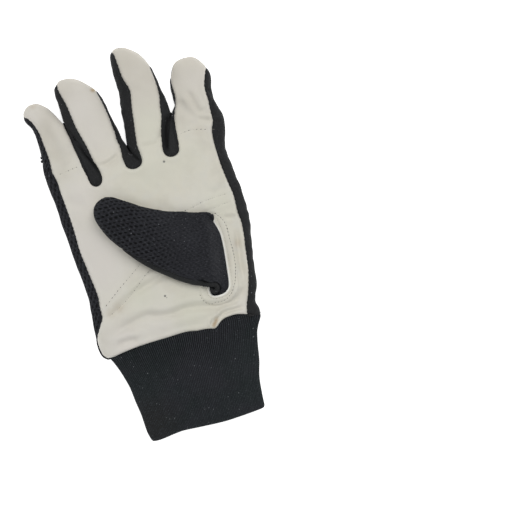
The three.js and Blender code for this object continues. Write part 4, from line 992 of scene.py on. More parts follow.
# Each row runs along two arcs, r (1 - cos a) in from the outline. Points are (x, y) rows.
def wrapSide(seam, outline, under, radius, columns, wristBend=False, limit=None):
    over = np.linalg.norm(seam - outline, axis=1)[:, None]
    below = np.linalg.norm(under - outline, axis=1)[:, None]
    radius = np.maximum(np.reshape(radius, (-1, 1)), 1e-3)
    flat = heights["equator"]
    overAngle = np.arccos(np.clip(1 - over / radius, 0, 1))
    belowAngle = np.arccos(np.clip(1 - below / flat, 0, 1))
    c = columns[None]
    angle = np.where(c < 0.5, overAngle * (1 - 2 * c), -belowAngle * (2 * c - 1))
    top = angle >= 0
    reach = np.where(top, over, below)
    r = np.where(top, np.maximum(radius, over), flat)
    t = np.where(reach > 1e-6, np.minimum(r * (1 - np.cos(angle)) / np.maximum(reach, 1e-6), 1), 0)
    x = outline[:, :1] + t * (np.where(top, seam[:, :1], under[:, :1]) - outline[:, :1])
    y = outline[:, 1:] + t * (np.where(top, seam[:, 1:], under[:, 1:]) - outline[:, 1:])
    if wristBend:
        y[:1] = np.where(top[:1], wristY(x[:1]), wristY(x[:1], "backWrist"))
    if limit:
        x = np.where(top, limit(x, y), x)
    z = np.where(top, topZ(x, y), bottomZ(x, y))
    run = np.sqrt(np.diff(x, axis=1) ** 2 + np.diff(y, axis=1) ** 2 + np.diff(z, axis=1) ** 2)
    u = x[:, -1:] - np.concatenate([np.cumsum(run[:, ::-1], axis=1)[:, ::-1], np.zeros((len(x), 1))], 1)
    v = np.repeat(np.mean(y, axis=1, keepdims=True), x.shape[1], 1)
    return np.stack([x, y, z, u, v], -1)


# y at which the edges round a crotch begin, a little above its lowest place
def crotchStart(k):
    return gaps[k]["crotch"][1] + 2


# A point of the edge round a crotch: half a turn of radius 'reach' about the bow between two fingers
def crotchPoint(k, t, reach):
    y = crotchStart(k)
    left = sideOf(fingers[k], "right", y)
    right = sideOf(fingers[k + 1], "left", y)
    openWidth = np.maximum(right - left, 0.2)
    angle = np.pi * (1 + t)
    return np.stack([
        (left + right) / 2 + openWidth * (t - 0.5) + reach * np.cos(angle),
        y - 1.4 * 4 * t * (1 - t) + reach * np.sin(angle),  # a bow 1.4 deep
    ], -1)


# y where the strip beside a finger has run out, at least 6 mm past the crotch
def stripEnd(finger, side):
    k = fingers.index(finger) - (side == "left")
    crotch = gaps[k]["crotch"][1] + 6 if 0 <= k < len(gaps) else 0
    return max(finger[side]["seam"][-1][1], crotch)


# Seam, outline, under edge and side radius of the strip beside a finger, row by row
def fingerStations(finger, side, y):
    out = -1 if side == "left" else 1
    outline = sideOf(finger, side, y)
    runOut = smooth(stripEnd(finger, side) - y, 0, 4)
    return (np.stack([seamOf(finger, side, y), y], -1), np.stack([outline, y], -1),
            np.stack([outline - out * heights["backSeam"] * runOut, y], -1),
            np.maximum((sideOf(finger, "right", y) - sideOf(finger, "left", y)) / 2, 0.5))


# One strip from a fingertip down, round the crotch and up to the next fingertip
def fourchetteGrid(k, step, columns):
    splitY = crotchStart(k)
    parts = []
    for finger, side, low, high in ((fingers[k], "right", 0, 0.3), (fingers[k + 1], "left", 1, 0.7)):
        end = min(stripEnd(finger, side), finger["tip"][1] - 0.3)
        above = np.linspace(end, splitY, int((end - splitY) / step) + 1)
        base = finger["base"][0 if side == "left" else 1]
        below = np.linspace(splitY, base, int((splitY - base) / step) + 1)[1:]
        seam, outline, under, radius = fingerStations(finger, side, above)
        t = low + (high - low) * (splitY - below) / (splitY - base)
        seamLow = np.stack([seamOf(finger, side, below), below], -1)
        part = [np.r_[seam, seamLow], np.r_[outline, crotchPoint(k, t, 0)],
                np.r_[under, crotchPoint(k, t, heights["backSeam"])],
                np.r_[radius, np.full(len(below), heights["sideRadius"])]]
        parts.append(part if side == "right" else [p[::-1] for p in part])
    start, stop = parts[0][0][-1], parts[1][0][0]
    arc = np.linspace(0, 1, int(panel["cutArc"] / step))[1:-1]
    roundCut = np.stack([
        start[0] + (stop[0] - start[0]) * (1 - np.cos(np.pi * arc)) / 2,
        start[1] + (stop[1] - start[1]) * arc - gaps[k]["cut"] * np.sin(np.pi * arc),
    ], -1)
    t = 0.3 + 0.4 * arc
    centre = [roundCut, crotchPoint(k, t, 0), crotchPoint(k, t, heights["backSeam"]),
              np.full(len(arc), heights["sideRadius"])]
    rows = [np.concatenate([a, b, c]) for a, b, c in zip(parts[0], centre, parts[1])]

    def between(x, y):  # never past the leather of the finger on either side
        low, high = fingers[k]["base"][1], fingers[k + 1]["base"][0]
        left = np.where(y > low, seamOf(fingers[k], "right", y), -1e3)
        right = np.where(y > high, seamOf(fingers[k + 1], "left", y), 1e3)
        return np.where((y < splitY) & (left < right), np.clip(x, left, right), x)

    return wrapSide(*rows, columns, limit=between), rows[0]


# Relief h along the normal n, which turns upright close to the leather: n + 2 up exp(-(d / 1.2)^2)
def makeStrip(name, grid, seamLine, nodes, creases=()):
    points, quads = surface([grid], middle=heights["equator"])
    above = smooth(points[:, 2] - heights["equator"], -0.5, 0.8)
    fromSeam, _, _ = lineDistance(points[:, 0], points[:, 1], seamLine)
    edge = edgeDistance(points, quads)
    edge = edge + (np.minimum(edge, fromSeam) - edge) * above
    relief = strip["puff"] * smooth(edge, 0.2, 2.2)
    relief = relief + 0.14 * waves(points[:, 3], points[:, 4], 31, 5, 18) * smooth(edge, 0, 2)
    shade = np.zeros(len(points))
    for crease in creases:
        dist, share, side = lineDistance(points[:, 0], points[:, 1], drawLine(crease["line"], 1.5))
        ends = smooth(share, 0, 0.15) * smooth(1 - share, 0, 0.1) * above
        width = np.where(side * crease["deep"] > 0, crease["far"], crease["near"])
        relief = relief - ends * crease["depth"] * np.exp(-(dist / width) ** 2)
        # painted shade in each crease, passed to the material as its hole share
        shade = np.maximum(shade, 0.4 * crease["depth"] * ends * np.exp(-(dist / width) ** 2))
        lip = np.exp(-((dist - 2.2 * crease["near"]) / crease["near"]) ** 2) * (side * crease["deep"] < 0)
        relief = relief + ends * 0.35 * crease["depth"] * lip
    relief = relief * smooth(edge, -0.4, 1) - strip["seamSink"] * np.exp(-(edge / 0.6) ** 2)
    normal = vertexNormals(points, quads)
    normal[:, 2] += 2 * above * np.exp(-(fromSeam / 1.2) ** 2)
    normal /= np.maximum(np.linalg.norm(normal, axis=1, keepdims=True), 1e-9)
    points[:, :3] += normal * relief[:, None]
    # painted shade: the hole share of this piece is only the darkening in its creases
    piece = makeMesh(name, points, quads, [("hole", np.minimum(shade, 0.9))])
    return finishPiece(piece, knit, nodes, strip["wall"])


columns = shares(strip["columns"])
for k, gap in enumerate(gaps):
    grid, seamLine = fourchetteGrid(k, strip["step"], columns)
    makeStrip("Fourchette_" + gap["name"], grid, seamLine, ["fourchette_" + gap["name"]], gap["creases"])

index = fingers[3]
palmY = np.r_[strip["wrist"], np.arange(strip["rowsFrom"], fingersFrom, strip["step"])]
out = np.stack([palmAt("right", palmY), palmY], -1)
palmRows = (np.stack([palmAt("seamRight", palmY), palmY], -1), out, out - [heights["backSeam"], 0],
            np.full(len(palmY), heights["sideRadius"]))
tipY = np.arange(fingersFrom, index["right"]["seam"][-1][1], strip["step"])
fingerRows = fingerStations(index, "right", tipY)
rows = [np.concatenate([a, b]) for a, b in zip(palmRows, fingerRows)]
grid = wrapSide(*rows, columns, wristBend=True)
makeStrip("IndexSideStrip", grid, rows[0], ["index_side_strip"], strip["creases"])
print("side strips ready")


# Spacer mesh: slanted oval holes at (i pitch, 2 j row) and half way between those

airHoles = {"pitch": 3.15, "row": 2.7, "long": 1.1, "wide": 0.62, "slant": -24.0, "depth": 0.65,
            "stray": 0.16}


# 1 in a hole, 0 between: r^2 = (a / long)^2 + (b / wide)^2 round the nearest place, in slanted axes
def holePattern(u, v, size=1.0, style=airHoles):
    s = math.radians(style["slant"])
    u = u + style["stray"] * waves(u, v, 41, 6, 16)
    v = v + style["stray"] * waves(u, v, 42, 6, 16)
    nearest = np.full(np.shape(u), 1e9)
    chance = np.zeros(np.shape(u))
    for shift in (0, 0.5):
        i = np.round(u / style["pitch"] - shift) + shift
        j = np.round(v / (2 * style["row"]) - shift) + shift
        du, dv = u - style["pitch"] * i, v - 2 * style["row"] * j
        a, b = du * math.cos(s) + dv * math.sin(s), dv * math.cos(s) - du * math.sin(s)
        r = np.hypot(a / (style["long"] * size), b / (style["wide"] * size))
        chance = np.where(r < nearest, np.abs(np.sin(12.9 * i + 78.2 * j)), chance)
        nearest = np.minimum(nearest, r)
    return (1 - smooth(nearest * (1.15 - 0.3 * chance), 0.7, 1.15)) * (0.75 + 0.25 * chance)


back = {
    "step": 0.62, "wall": 1.2,
    "split": 80.0,  # y where the outer sides of the outer fingers leave the hand's sheet
    "inset": 3.15,  # how far its edge lies in from the outline
    "wrist": -58, "rowsFrom": -56, "rowsTo": 48,  # y of the straight rows
    "climb": 34,    # length over which they bend to the fingers and crotches
    "wrap": 20,     # rough width of the part that wraps up round the little finger side
    "holes": {**airHoles, "long": 1.25, "wide": 0.68, "slant": 99.0, "depth": 0.5},
}


# x of the back's edge on a finger, set in from the outline
def backEdge(finger, side, y):
    outline = sideOf(finger, side, y)
    if finger is fingers[0] and side == "left":
        return outline + heights["equator"] * np.clip((108 - y) / 6, 0, 1)
    inset = back["inset"] * smooth(stripEnd(finger, side) - y, 0, 4)
    return outline + inset if side == "left" else outline - inset


# The upper edge of the back of the hand: fingers and crotches in turn
def backTop(step):
    starts = [(back["split"], crotchStart(0))]
    starts += [(crotchStart(k - 1), crotchStart(k)) for k in (1, 2)]
    starts += [(crotchStart(2), back["split"])]
    xs, ys, spans = [], [], []
    for k, (finger, (low, high)) in enumerate(zip(fingers, starts)):
        left, right = float(backEdge(finger, "left", low)), float(backEdge(finger, "right", high))
        share = np.linspace(0, 1, int((right - left) / step) + 1)
        spans.append((len(share), low, high))
        xs += list(left + (right - left) * share)
        ys += list(low + (high - low) * share)
        if k < len(gaps):
            t = np.linspace(0, 1, 9)[1:-1]
            p = crotchPoint(k, t, back["inset"])
            xs += list(p[:, 0])
            ys += list(p[:, 1])
    return np.array(xs), np.array(ys), spans


# The part of the back that wraps up round the little finger side to the leather
def ulnarWrap(seamX, y, outlineX, columns):
    under = np.stack([outlineX + heights["equator"], y], -1)
    radius = np.full(len(y), heights["sideRadius"])
    return wrapSide(np.stack([seamX, y], -1), np.stack([outlineX, y], -1), under, radius, columns)


# Grids of the back of the hand with its wrap, and of the finger backs with the little finger's wrap
def backGrids(step):
    topX, topY, spans = backTop(step)

    def sheetLeft(y):
        return palmAt("left", y) + heights["equator"]

    def sheetRight(y):
        return palmAt("right", y) - back["inset"]

    share = (topX - topX[0]) / (topX[-1] - topX[0])
    wrist = back["wrist"]
    seamX = sheetLeft(wrist) + (sheetRight(wrist) - sheetLeft(wrist)) * share
    base = wristY(seamX, "backWrist")
    levels = np.arange(back["rowsFrom"], back["rowsTo"], step)
    rise = np.linspace(0, 1, 6)[:-1, None]
    climb = np.linspace(0, 1, int(back["climb"] / step))[1:, None]
    y = np.concatenate([
        base[None] * (1 - rise) + levels[0] * rise,
        np.repeat(levels[:, None], len(share), 1),
        levels[-1] * (1 - climb) + topY[None] * climb,
    ])
    x = sheetLeft(y) + (sheetRight(y) - sheetLeft(y)) * share[None]
    settle = np.r_[np.zeros(len(y) - len(climb)), climb[:, 0] ** 2][:, None]
    x = x + (topX - x[-1]) * settle  # the columns drift until they meet the upper edge
    hand = [withPlan(x, y, bottomZ(x, y))]
    sideY = y[:, 0]
    columns = np.linspace(0, 1, int(back["wrap"] / step))
    fingerSeam = seamOf(fingers[0], "left", np.maximum(sideY, fingersFrom))
    seam = np.where(sideY < fingersFrom, palmAt("seamLeft", sideY), fingerSeam)
    wrap = ulnarWrap(seam, sideY, x[:, 0] - heights["equator"], columns)
    wrap[:, -1, :3] = np.stack([x[:, 0], y[:, 0], bottomZ(x[:, 0], y[:, 0])], -1)
    hand.append(wrap)
    tips = []
    for k, finger in enumerate(fingers):
        count, low, high = spans[k]
        tip = finger["tip"][1] - 0.01
        t = fingerSteps({"tip": (0, tip), "base": (max(low, high),)}, step)[:, None]
        lowY, highY = low + (tip - low) * t, high + (tip - high) * t
        left, right = backEdge(finger, "left", lowY), backEdge(finger, "right", highY)
        s = np.linspace(0, 1, count)[None]
        x, y = left + (right - left) * s, lowY + (highY - lowY) * s
        tips.append(withPlan(x, y, bottomZ(x, y)))
        if k == 0:
            seam, outline, _, radius = fingerStations(finger, "left", lowY[:, 0])
            wrap = wrapSide(seam, outline, np.stack([left[:, 0], lowY[:, 0]], -1), radius, columns)
            tips.append(wrap)
    return hand, tips


hand, tips = backGrids(back["step"])
points, quads = surface(hand + tips, middle=heights["equator"])
inHand = sum((g.shape[0] - 1) * (g.shape[1] - 1) for g in hand)
edge = edgeDistance(points, quads)
above = smooth(points[:, 2] - heights["equator"], -0.5, 0.8)
fromSide = np.abs(points[:, 2] - heights["equator"])
# painted shade: the material darkens the back's mesh inside each hole by this share, beside the dimple in the
# relief
hole = holePattern(points[:, 3], points[:, 4], 1.0, back["holes"]) * smooth(edge, 0.2, 0.9)
relief = 0.1 * waves(points[:, 0], points[:, 1], 12, 8, 30) * smooth(edge, 0, 1.5)
relief = relief - back["holes"]["depth"] * hole * smooth(edge, 0.6, 2) * smooth(fromSide, 0.2, 2.2)
points = drape(points, quads, relief)
# the edge lies under the leather's, deeper where the band is only a thin line
line = palmAt("seamLeft", points[:, 1]) - palmAt("left", points[:, 1])
thin = (1 - smooth(line, 0.6, 2.4)) * smooth(-points[:, 1], 38, 42)
points[:, 2] -= ((0.45 + 0.8 * thin) * above - 0.3 * (1 - above)) * np.exp(-(edge / 0.6) ** 2)
points[:, 2] = np.maximum(points[:, 2], heights["lowest"])
for name, part, nodes in (("BackHand", quads[:inHand], ["back_mesh"]), ("BackFingers", quads[inHand:], [])):
    used, ids = np.unique(part, return_inverse=True)
    piece = makeMesh(name, points[used], ids.reshape(-1, 4), [("hole", hole[used])])
    finishPiece(piece, airMesh, nodes, back["wall"])
    print("back", name, len(part))


# The cuff: flat rounded sections with fine ribs, folded over at the hem

cuff = {
    "ribs": 160, "ribDepth": 0.5, "perRib": 8, "rows": 42, "wall": 2.0,
    "gather": 0.25, "gathers": 23,      # depth and number of the puckers at the wrist seam
    "seamFrom": -61, "seamWide": 102,   # the wrist seam as seen from above
}


# A flat rounded section, |cos a|^p wide and |sin a|^p high, at a share of the way from hem to wrist
def cuffSection(angle, share, inset):
    c, s = np.cos(angle), np.sin(angle)
    power = np.where(s >= 0, 2 / 2.6, 2 / 4)
    across = np.sign(c) * np.abs(c) ** power
    plan = cuff["seamFrom"] + cuff["seamWide"] * (across + 1) / 2
    seamY = np.where(s >= 0, wristY(plan), wristY(plan, "backWrist")) + 0.5
    hem = np.array(cuffTable["hem"])
    hemY = follow(hem[:, 0], hem[:, 1], across)
    y = hemY + (seamY - hemY) * share
    left, right = (follow(cuffTable["y"], cuffTable[key], y) for key in ("left", "right"))
    wide = (right - left) / 2 - inset
    rise = heights["cuffRise"] + 0.6 * share - inset
    drop = heights["equator"] - np.maximum(inset, 0)
    z = np.abs(s) ** power * np.where(s >= 0, rise, -drop)
    return (left + right) / 2 + wide * across, y, heights["equator"] + z


# Even steps along the section instead of even angles, so that all the ribs are equally wide
flatShare = np.linspace(-1, 1, 1001)
fine = np.sort(np.r_[
    np.linspace(0, 2 * np.pi, 4001),
    np.arccos(np.sign(flatShare) * np.abs(flatShare) ** 1.3),
    2 * np.pi - np.arccos(np.sign(flatShare) * flatShare**2),
])
fineX, _, fineZ = cuffSection(fine, 0.4, 0)
run = np.r_[0, np.cumsum(np.hypot(np.diff(fineX), np.diff(fineZ)))]
count = cuff["ribs"] * cuff["perRib"] // 1
around = np.linspace(0, 1, count + 1)
angle = np.interp(around * run[-1], run, fine)
outerShare = np.r_[0.006, 0.012, np.linspace(0.025, 0.955, cuff["rows"]), 0.972, 0.985, 0.995, 1.0]
innerShare = np.r_[0.997, 0.8, 0.5, 0.2, 0.04, 0.012]
ribTop = np.abs(np.cos(np.pi * cuff["ribs"] * around)) ** 0.7
grid = []
for share in outerShare:
    x, y, z = cuffSection(angle, share, 0)
    rib = cuff["ribDepth"] * (ribTop - 0.5)
    rib = rib * (0.45 + 0.55 * smooth(share, 0.0, 0.05) + 0.6 * smooth(share, 0.6, 0.9))
    soft = 0.3 * waves(around * run[-1], y, 17, 14, 60)
    puckers = np.sin(2 * np.pi * around * cuff["gathers"] + 2 * np.sin(around * 31))
    puckers = cuff["gather"] * puckers * smooth(share, 0.72, 1)
    seamDip = -0.9 * smooth(share, 0.96, 1) * smooth(np.abs(np.sin(angle)), 0.15, 0.7)
    hemRoll = 0.25 * np.exp(-((share - 0.03) / 0.03) ** 2) - 0.3 * np.exp(-(share / 0.012) ** 2)
    x, y, z = cuffSection(angle, share, -(rib + soft + puckers + seamDip + hemRoll))
    grid.append(np.stack([x, y, z], -1))
for share in innerShare:
    x, y, z = cuffSection(angle, share, cuff["wall"])
    grid.append(np.stack([x, y, z], -1))
x, y, z = cuffSection(angle, 0.0, cuff["wall"] / 2)
grid.append(np.stack([x, y, z], -1))
grid.append(grid[0])
grid = np.array(grid)
grid[:, -1] = grid[:, 0]
grid[..., 2] = np.maximum(grid[..., 2], heights["lowest"])
u = np.repeat(around[None] * run[-1], len(grid), 0)
# painted shade in the valleys between the ribs, stronger towards the wrist, passed to the material as its
# hole share
valley = np.sin(np.pi * cuff["ribs"] * around) ** 2
hollow = valley[None] * (0.55 + 0.45 * smooth(np.linspace(0, 1, len(grid)), 0.35, 0.8))[:, None]
cloth = np.concatenate([grid, u[..., None], grid[..., 1:2], hollow[..., None]], -1)
points, quads = surface([cloth], middle=heights["equator"])
volume = np.einsum("ij,ij->i", faceVectors(points, quads), points[quads[:, 0], :3]).sum()
quads = quads if volume > 0 else quads[:, ::-1]
finishPiece(makeMesh("CuffRib", points, quads, [("hole", points[:, 5])]), ribKnit, ["cuff_rib"])
print("cuff", len(quads))


# The leather facing round the keyhole

facing = {"rise": 0.6, "step": 0.6, "wall": 0.7, "groove": 0.22}

holeLine = drawLine(keyhole["right"][::-1] + keyhole["left"][1:8], 0.6)


# The palm's skin and the facing's rise less groove * exp(-(d / 0.55)^2) along its stitched rows
def facingTop(x, y):
    reach, _, _ = lineDistance(x, y, holeLine)
    lift = facing["rise"] * (1 - 0.75 * smooth(reach, keyhole["facing"] - 1.0, keyhole["facing"]))
    lift = lift + 0.12 * np.exp(-((reach - 3.6) / 1.2) ** 2)
    for row in rimRows.values():
        dist, _, _ = lineDistance(x, y, drawLine(row["line"], 1.2))
        lift = lift - facing["groove"] * np.exp(-(dist / 0.55) ** 2)
    return topZ(x, y) + leatherRelief(x, y) + lift


tangent = np.gradient(holeLine, axis=0)
tangent /= np.linalg.norm(tangent, axis=1, keepdims=True)
outward = np.stack([-tangent[:, 1], tangent[:, 0]], -1)
reach = np.r_[-0.1, -0.3, -0.25, 0.0, 0.35, np.linspace(0.8, keyhole["facing"] - 0.2, 18), keyhole["facing"]]
under = np.r_[2.0, 1.3, 0.7, 0.25, 0.05, np.zeros(18), 0.25]
x = holeLine[:, :1] + outward[:, :1] * reach
y = holeLine[:, 1:] + outward[:, 1:] * reach
z = facingTop(x, y) - under
# pale cut edge with a painted highlight: the facing's first rows, where it rolls over into the hole, take the
# near-white colour
cut = np.broadcast_to(1 - smooth(reach, 0.45, 1.0), x.shape)
points, quads = surface([np.concatenate([withPlan(x, y, z), cut[..., None]], -1)], up=1)
piece = makeMesh("KeyholeFacing", points, quads, [("cut", points[:, 5])] + leatherTones(points))
finishPiece(piece, leather, ["thumb_hole_rim"], facing["wall"])
print("keyhole facing", len(quads))


# The thumb, folded over the palm: spacer mesh above, leather against the palm, a knit strip between
# them on the lower edge that rolls into the bottom of the keyhole

thumb = {
    "upper": [(27.2, 12.5), (26.5, 14), (24.8, 15), (19.8, 16.2), (14.8, 17.5), (9.8, 19.4), (4.8, 20.7),
              (-0.2, 22.2), (-5, 24.4), (-10.2, 26.8), (-16, 30), (-21, 33.4), (-25.2, 36), (-28.1, 37.9),
              (-31, 39.6), (-35.2, 40.7), (-39.3, 39.8), (-42.3, 37.9), (-44, 35.8), (-45.1, 32.3)],
    "lower": [(13.6, -31), (9.8, -29.5), (4.8, -27.5), (-0.2, -24.6), (-5.2, -21.3), (-10.2, -17.5),
              (-15.2, -13.6), (-20.2, -9.2), (-25.2, -4.2), (-29.3, 0.6), (-32.7, 5), (-36.4, 10),
              (-39.8, 15), (-42.3, 20), (-43.9, 24.2), (-45, 28.3), (-45.1, 32.3)],
    "root": [(27.2, 12.5), (27.5, 10.4), (27.3, 8.2), (28.3, 5.2), (29.5, 2), (29.8, -3), (29.6, -9),
             (29.1, -14), (28.4, -20), (27.8, -26), (27.2, -30), (26.4, -33.8), (24.4, -37.2),
             (20.4, -38.9), (16.4, -38.6), (13.6, -36.6), (13.4, -33.6), (13.8, -31)],
    "stripWidth": 2.7, "stripUnder": 1.6, "stripEnd": 0.7,
    "step": 0.38, "wall": 1.2, "frontWall": 0.9, "stripWall": 0.7,
    "rowAngle": 1.0, "squeeze": 0.32,  # turn and squeeze of the rows of holes
    "length": 86, "breadth": 56,       # rough size of its sheet, for the number of rows
    # the strip's curl in the keyhole: x, y, z and radius, from the strip inwards
    "curl": [(10.4, -28.5, 17.4, 1.5), (12.6, -29.1, 17.3, 1.5), (14.8, -29.7, 17.1, 1.5),
             (17, -30.5, 16.9, 1.45), (18.5, -31.7, 16.6, 1.45), (18.8, -33.3, 16.2, 1.45),
             (18, -34.8, 15.8, 1.45), (16.5, -35.4, 15.4, 1.45), (15.2, -34.9, 15.1, 1.4),
             (14.6, -33.7, 14.8, 1.3), (14.8, -32.4, 14.5, 1.1), (15.6, -31.6, 14.2, 0.7),
             (16.3, -31.4, 14, 0.25)],
    "pit": (16.6, -33.0, 4.0, 6.0),  # x, y, radius and depth of the hollow under the curl
}
upperLine, lowerLine = drawLine(thumb["upper"], 0.5), drawLine(thumb["lower"], 0.5)


# The point at a share of the way along a line
def alongLine(line, share):
    at = np.linspace(0, 1, len(line))
    return np.stack([np.interp(share, at, line[:, 0]), np.interp(share, at, line[:, 1])], -1)


topRoot = drawLine(thumb["root"], 0.5)
lowRoot = drawLine([p for p in keyhole["left"][::-1] if p[1] >= -31.1], 0.5)


# Between the two edges, and pulled to the keyhole's edge by (1 - along)^n at the root
def thumbPlan(root, along, across):
    upper, lower = alongLine(upperLine, along), alongLine(lowerLine, along)
    share = across[..., None]
    if root is None:
        return upper + (lower - upper) * share
    chord = upperLine[0] + (lowerLine[0] - upperLine[0]) * share
    fade = (1 - along) ** (6 + 30 * smooth(across, 0.72, 0.98))
    return upper + (lower - upper) * share + (alongLine(root, across) - chord) * fade[..., None]


# Upper side: seam + rise * (1 - u^2.5)^(1/2.2) * tip, under side: a flat hollow down to the palm
def thumbPoints(along, across, above=True, rooted=True):
    along, across = np.broadcast_arrays(along, across)
    plan = thumbPlan((topRoot if above else lowRoot) if rooted else None, along, across)
    x, y = plan[..., 0], plan[..., 1]
    palm = topZ(x, y)
    tip = np.sqrt(1 - np.clip((along - 0.84) / 0.16, 0, 1) ** 2)
    u = np.abs(2 * across - 1)
    low = palm + heights["rim"] + 0.9
    seam = low + (heights["thumbSeam"] - low) * smooth(along, -0.1, 0.12)
    if not above:
        sunk = np.sqrt(np.clip(1 - u**8, 0, 1)) * tip * smooth(along, 0, 0.1)
        return np.stack([x, y, seam + (palm + 0.5 - seam) * sunk], -1)
    high = seam + heights["thumbRise"] * crown(u, 2.5) * tip * smooth(along, -0.3, 0.1)
    lumps = 0.45 * waves(x, y, 8, 18, 50) + 0.12 * waves(x, y, 5, 6, 12)
    high = high + lumps * smooth(1 - u, 0, 0.25) * tip
    if rooted:
        dip = smooth(across, 0.0, 0.085) * (1 - smooth(along, 0.0, 0.095))
        high = high + (palm - 1.5 - high) * dip
        pitX, pitY, pitRadius, pitDepth = thumb["pit"]
        fromPit = np.hypot(x - pitX, y - pitY)
        high = high - pitDepth * (1 - smooth(fromPit, 0.6 * pitRadius, 1.15 * pitRadius))
    return np.stack([x, y, high], -1)


# The share of the thumb's width that the knit strip takes, which runs out at stripEnd
def thumbInset(along, width):
    wide = np.linalg.norm(alongLine(upperLine, along) - alongLine(lowerLine, along), axis=-1)
    return width * (1 - smooth(along, thumb["stripEnd"] - 0.25, thumb["stripEnd"])) / np.maximum(wide, 1)


# How much longer the cloth is than its plan along one axis, from its middle on, as a step in the plan
def unrolled(xyz, axis):
    step = np.diff(xyz, axis=axis)
    extra = np.cumsum(np.linalg.norm(step, axis=-1) - np.linalg.norm(step[..., :2], axis=-1), axis=axis)
    extra = np.concatenate([np.zeros_like(np.take(extra, [0], axis)), extra], axis)
    extra = extra - np.take(extra, [extra.shape[axis] // 2], axis)
    heading = np.gradient(xyz[..., :2], axis=axis)
    return heading / np.maximum(np.linalg.norm(heading, axis=-1, keepdims=True), 1e-6) * extra[..., None]


# Grid of one side of the thumb, its cloth unrolled for the pattern
def thumbSheet(width, above, step):
    along = np.r_[np.linspace(0.002, 0.97, int(thumb["length"] / step)), 0.98, 0.988, 0.994, 0.998, 0.9995]
    along = along if above else along[along > 0.07]
    across = shares(int(thumb["breadth"] / step))
    end = 1 - thumbInset(along, width)[:, None]
    xyz = thumbPoints(along[:, None], across[None] * end, above)
    turn = math.radians(thumb["rowAngle"])
    flat = xyz[..., :2] + unrolled(xyz, 0) + unrolled(xyz, 1)
    u = flat[..., 0] * math.cos(turn) + flat[..., 1] * math.sin(turn)
    v = -flat[..., 0] * math.sin(turn) + flat[..., 1] * math.cos(turn)
    v = 5 + (v - 5) * (1 + thumb["squeeze"] * smooth(u, -32, 12))
    return np.concatenate([xyz, u[..., None], v[..., None]], -1)


points, quads = surface([thumbSheet(thumb["stripWidth"], True, thumb["step"])], up=1)
edge = edgeDistance(points, quads)
tight = smooth(points[:, 3], -26, 14)
# painted shade: the material darkens the thumb's mesh inside each hole by this share, beside the dimple in
# the relief
hole = holePattern(points[:, 3], points[:, 4], 0.98 - 0.33 * tight)
hole = hole * smooth(edge, 0.3, 1.2) * (1 - 0.5 * tight)
relief = -airHoles["depth"] * hole * smooth(edge, 0.6, 2.2) + 0.3 * smooth(edge, 0.2, 1.8)
relief = relief - 0.35 * np.exp(-(edge / 0.5) ** 2)
points = drape(points, quads, relief)
piece = makeMesh("ThumbMesh", points, quads, [("hole", hole)])
finishPiece(piece, airMesh, ["thumb_back_mesh"], thumb["wall"])
print("thumb mesh", len(quads))

points, quads = surface([thumbSheet(thumb["stripUnder"], False, 1.0)], up=-1)
piece = makeMesh("ThumbFront", points, quads)
finishPiece(piece, leather, ["thumb_front_leather"], thumb["frontWall"])

along = np.linspace(0.03, thumb["stripEnd"] - 0.02, 120)[:, None]
over, below = thumbInset(along, thumb["stripWidth"]), thumbInset(along, thumb["stripUnder"])
topPart = thumbPoints(along, 1 - over * np.linspace(1, 0.004, 9)[None], rooted=False)
underPart = thumbPoints(along, 1 - below * np.linspace(0.02, 1, 6)[None], above=False)
edging = np.concatenate([topPart, underPart], 1)

# the curl: half a tube along its path, joined to the end of the edging
path = drawLine(thumb["curl"], 0.35)
heading = np.gradient(path[:, :2], axis=0)
heading /= np.linalg.norm(heading, axis=1, keepdims=True)
right = np.stack([heading[:, 1], -heading[:, 0], np.zeros(len(path))], -1)
turns = np.radians(np.linspace(170, -60, edging.shape[1]))
n = right[:, None] * np.cos(turns)[None, :, None] + np.array([0, 0, 1]) * np.sin(turns)[None, :, None]
roll = (path[:, None, :3] + n * path[:, None, 3:])[::-1]
blend = np.linspace(0, 1, 6)[1:-1, None, None]
join = roll[-1:] * (1 - blend) + edging[:1] * blend
xyz = np.concatenate([roll, join, edging])
steps = np.linalg.norm(np.diff(xyz[:, 4], axis=0), axis=1)
across = np.r_[0, np.cumsum(steps)][:, None].repeat(xyz.shape[1], 1)
width = np.linspace(0, 5, xyz.shape[1])[None].repeat(len(xyz), 0)
points, quads = surface([np.concatenate([xyz, width[..., None], across[..., None]], -1)], up=1)
edge = edgeDistance(points, quads)
points = drape(points, quads, 0.35 * smooth(edge, 0.2, 1.4) - 0.25 * np.exp(-(edge / 0.4) ** 2))
piece = makeMesh("ThumbEdging", points, quads)
finishPiece(piece, knit, ["thumb_side_strip"], thumb["stripWall"])
print("thumb edging", len(quads))


# Stitches: short threads along every row, and between each two a small flat dark rod of painted shade for the
# needle hole

# Points of a stubby rod along x, its faces as quads, and its ends closed with quads
def capsule(rings=(-1.0, -0.78, 0.0, 0.78, 1.0), widths=(0.35, 0.9, 1.0, 0.9, 0.35)):
    sides = 6
    turn = np.linspace(0, 2 * np.pi, sides, endpoint=False)
    body = np.array([[r, w * math.cos(t), w * math.sin(t)] for r, w in zip(rings, widths) for t in turn])
    quads = []
    for i in range(len(rings) - 1):
        for j in range(sides):
            low, high, after = i * sides, (i + 1) * sides, (j + 1) % sides
            quads.append([low + j, low + after, high + after, high + j])
    last = (len(rings) - 1) * sides
    quads += [[3, 2, 1, 0], [0, 5, 4, 3]]
    quads += [[last, last + 1, last + 2, last + 3], [last + 3, last + 4, last + 5, last]]
    return body, np.array(quads)


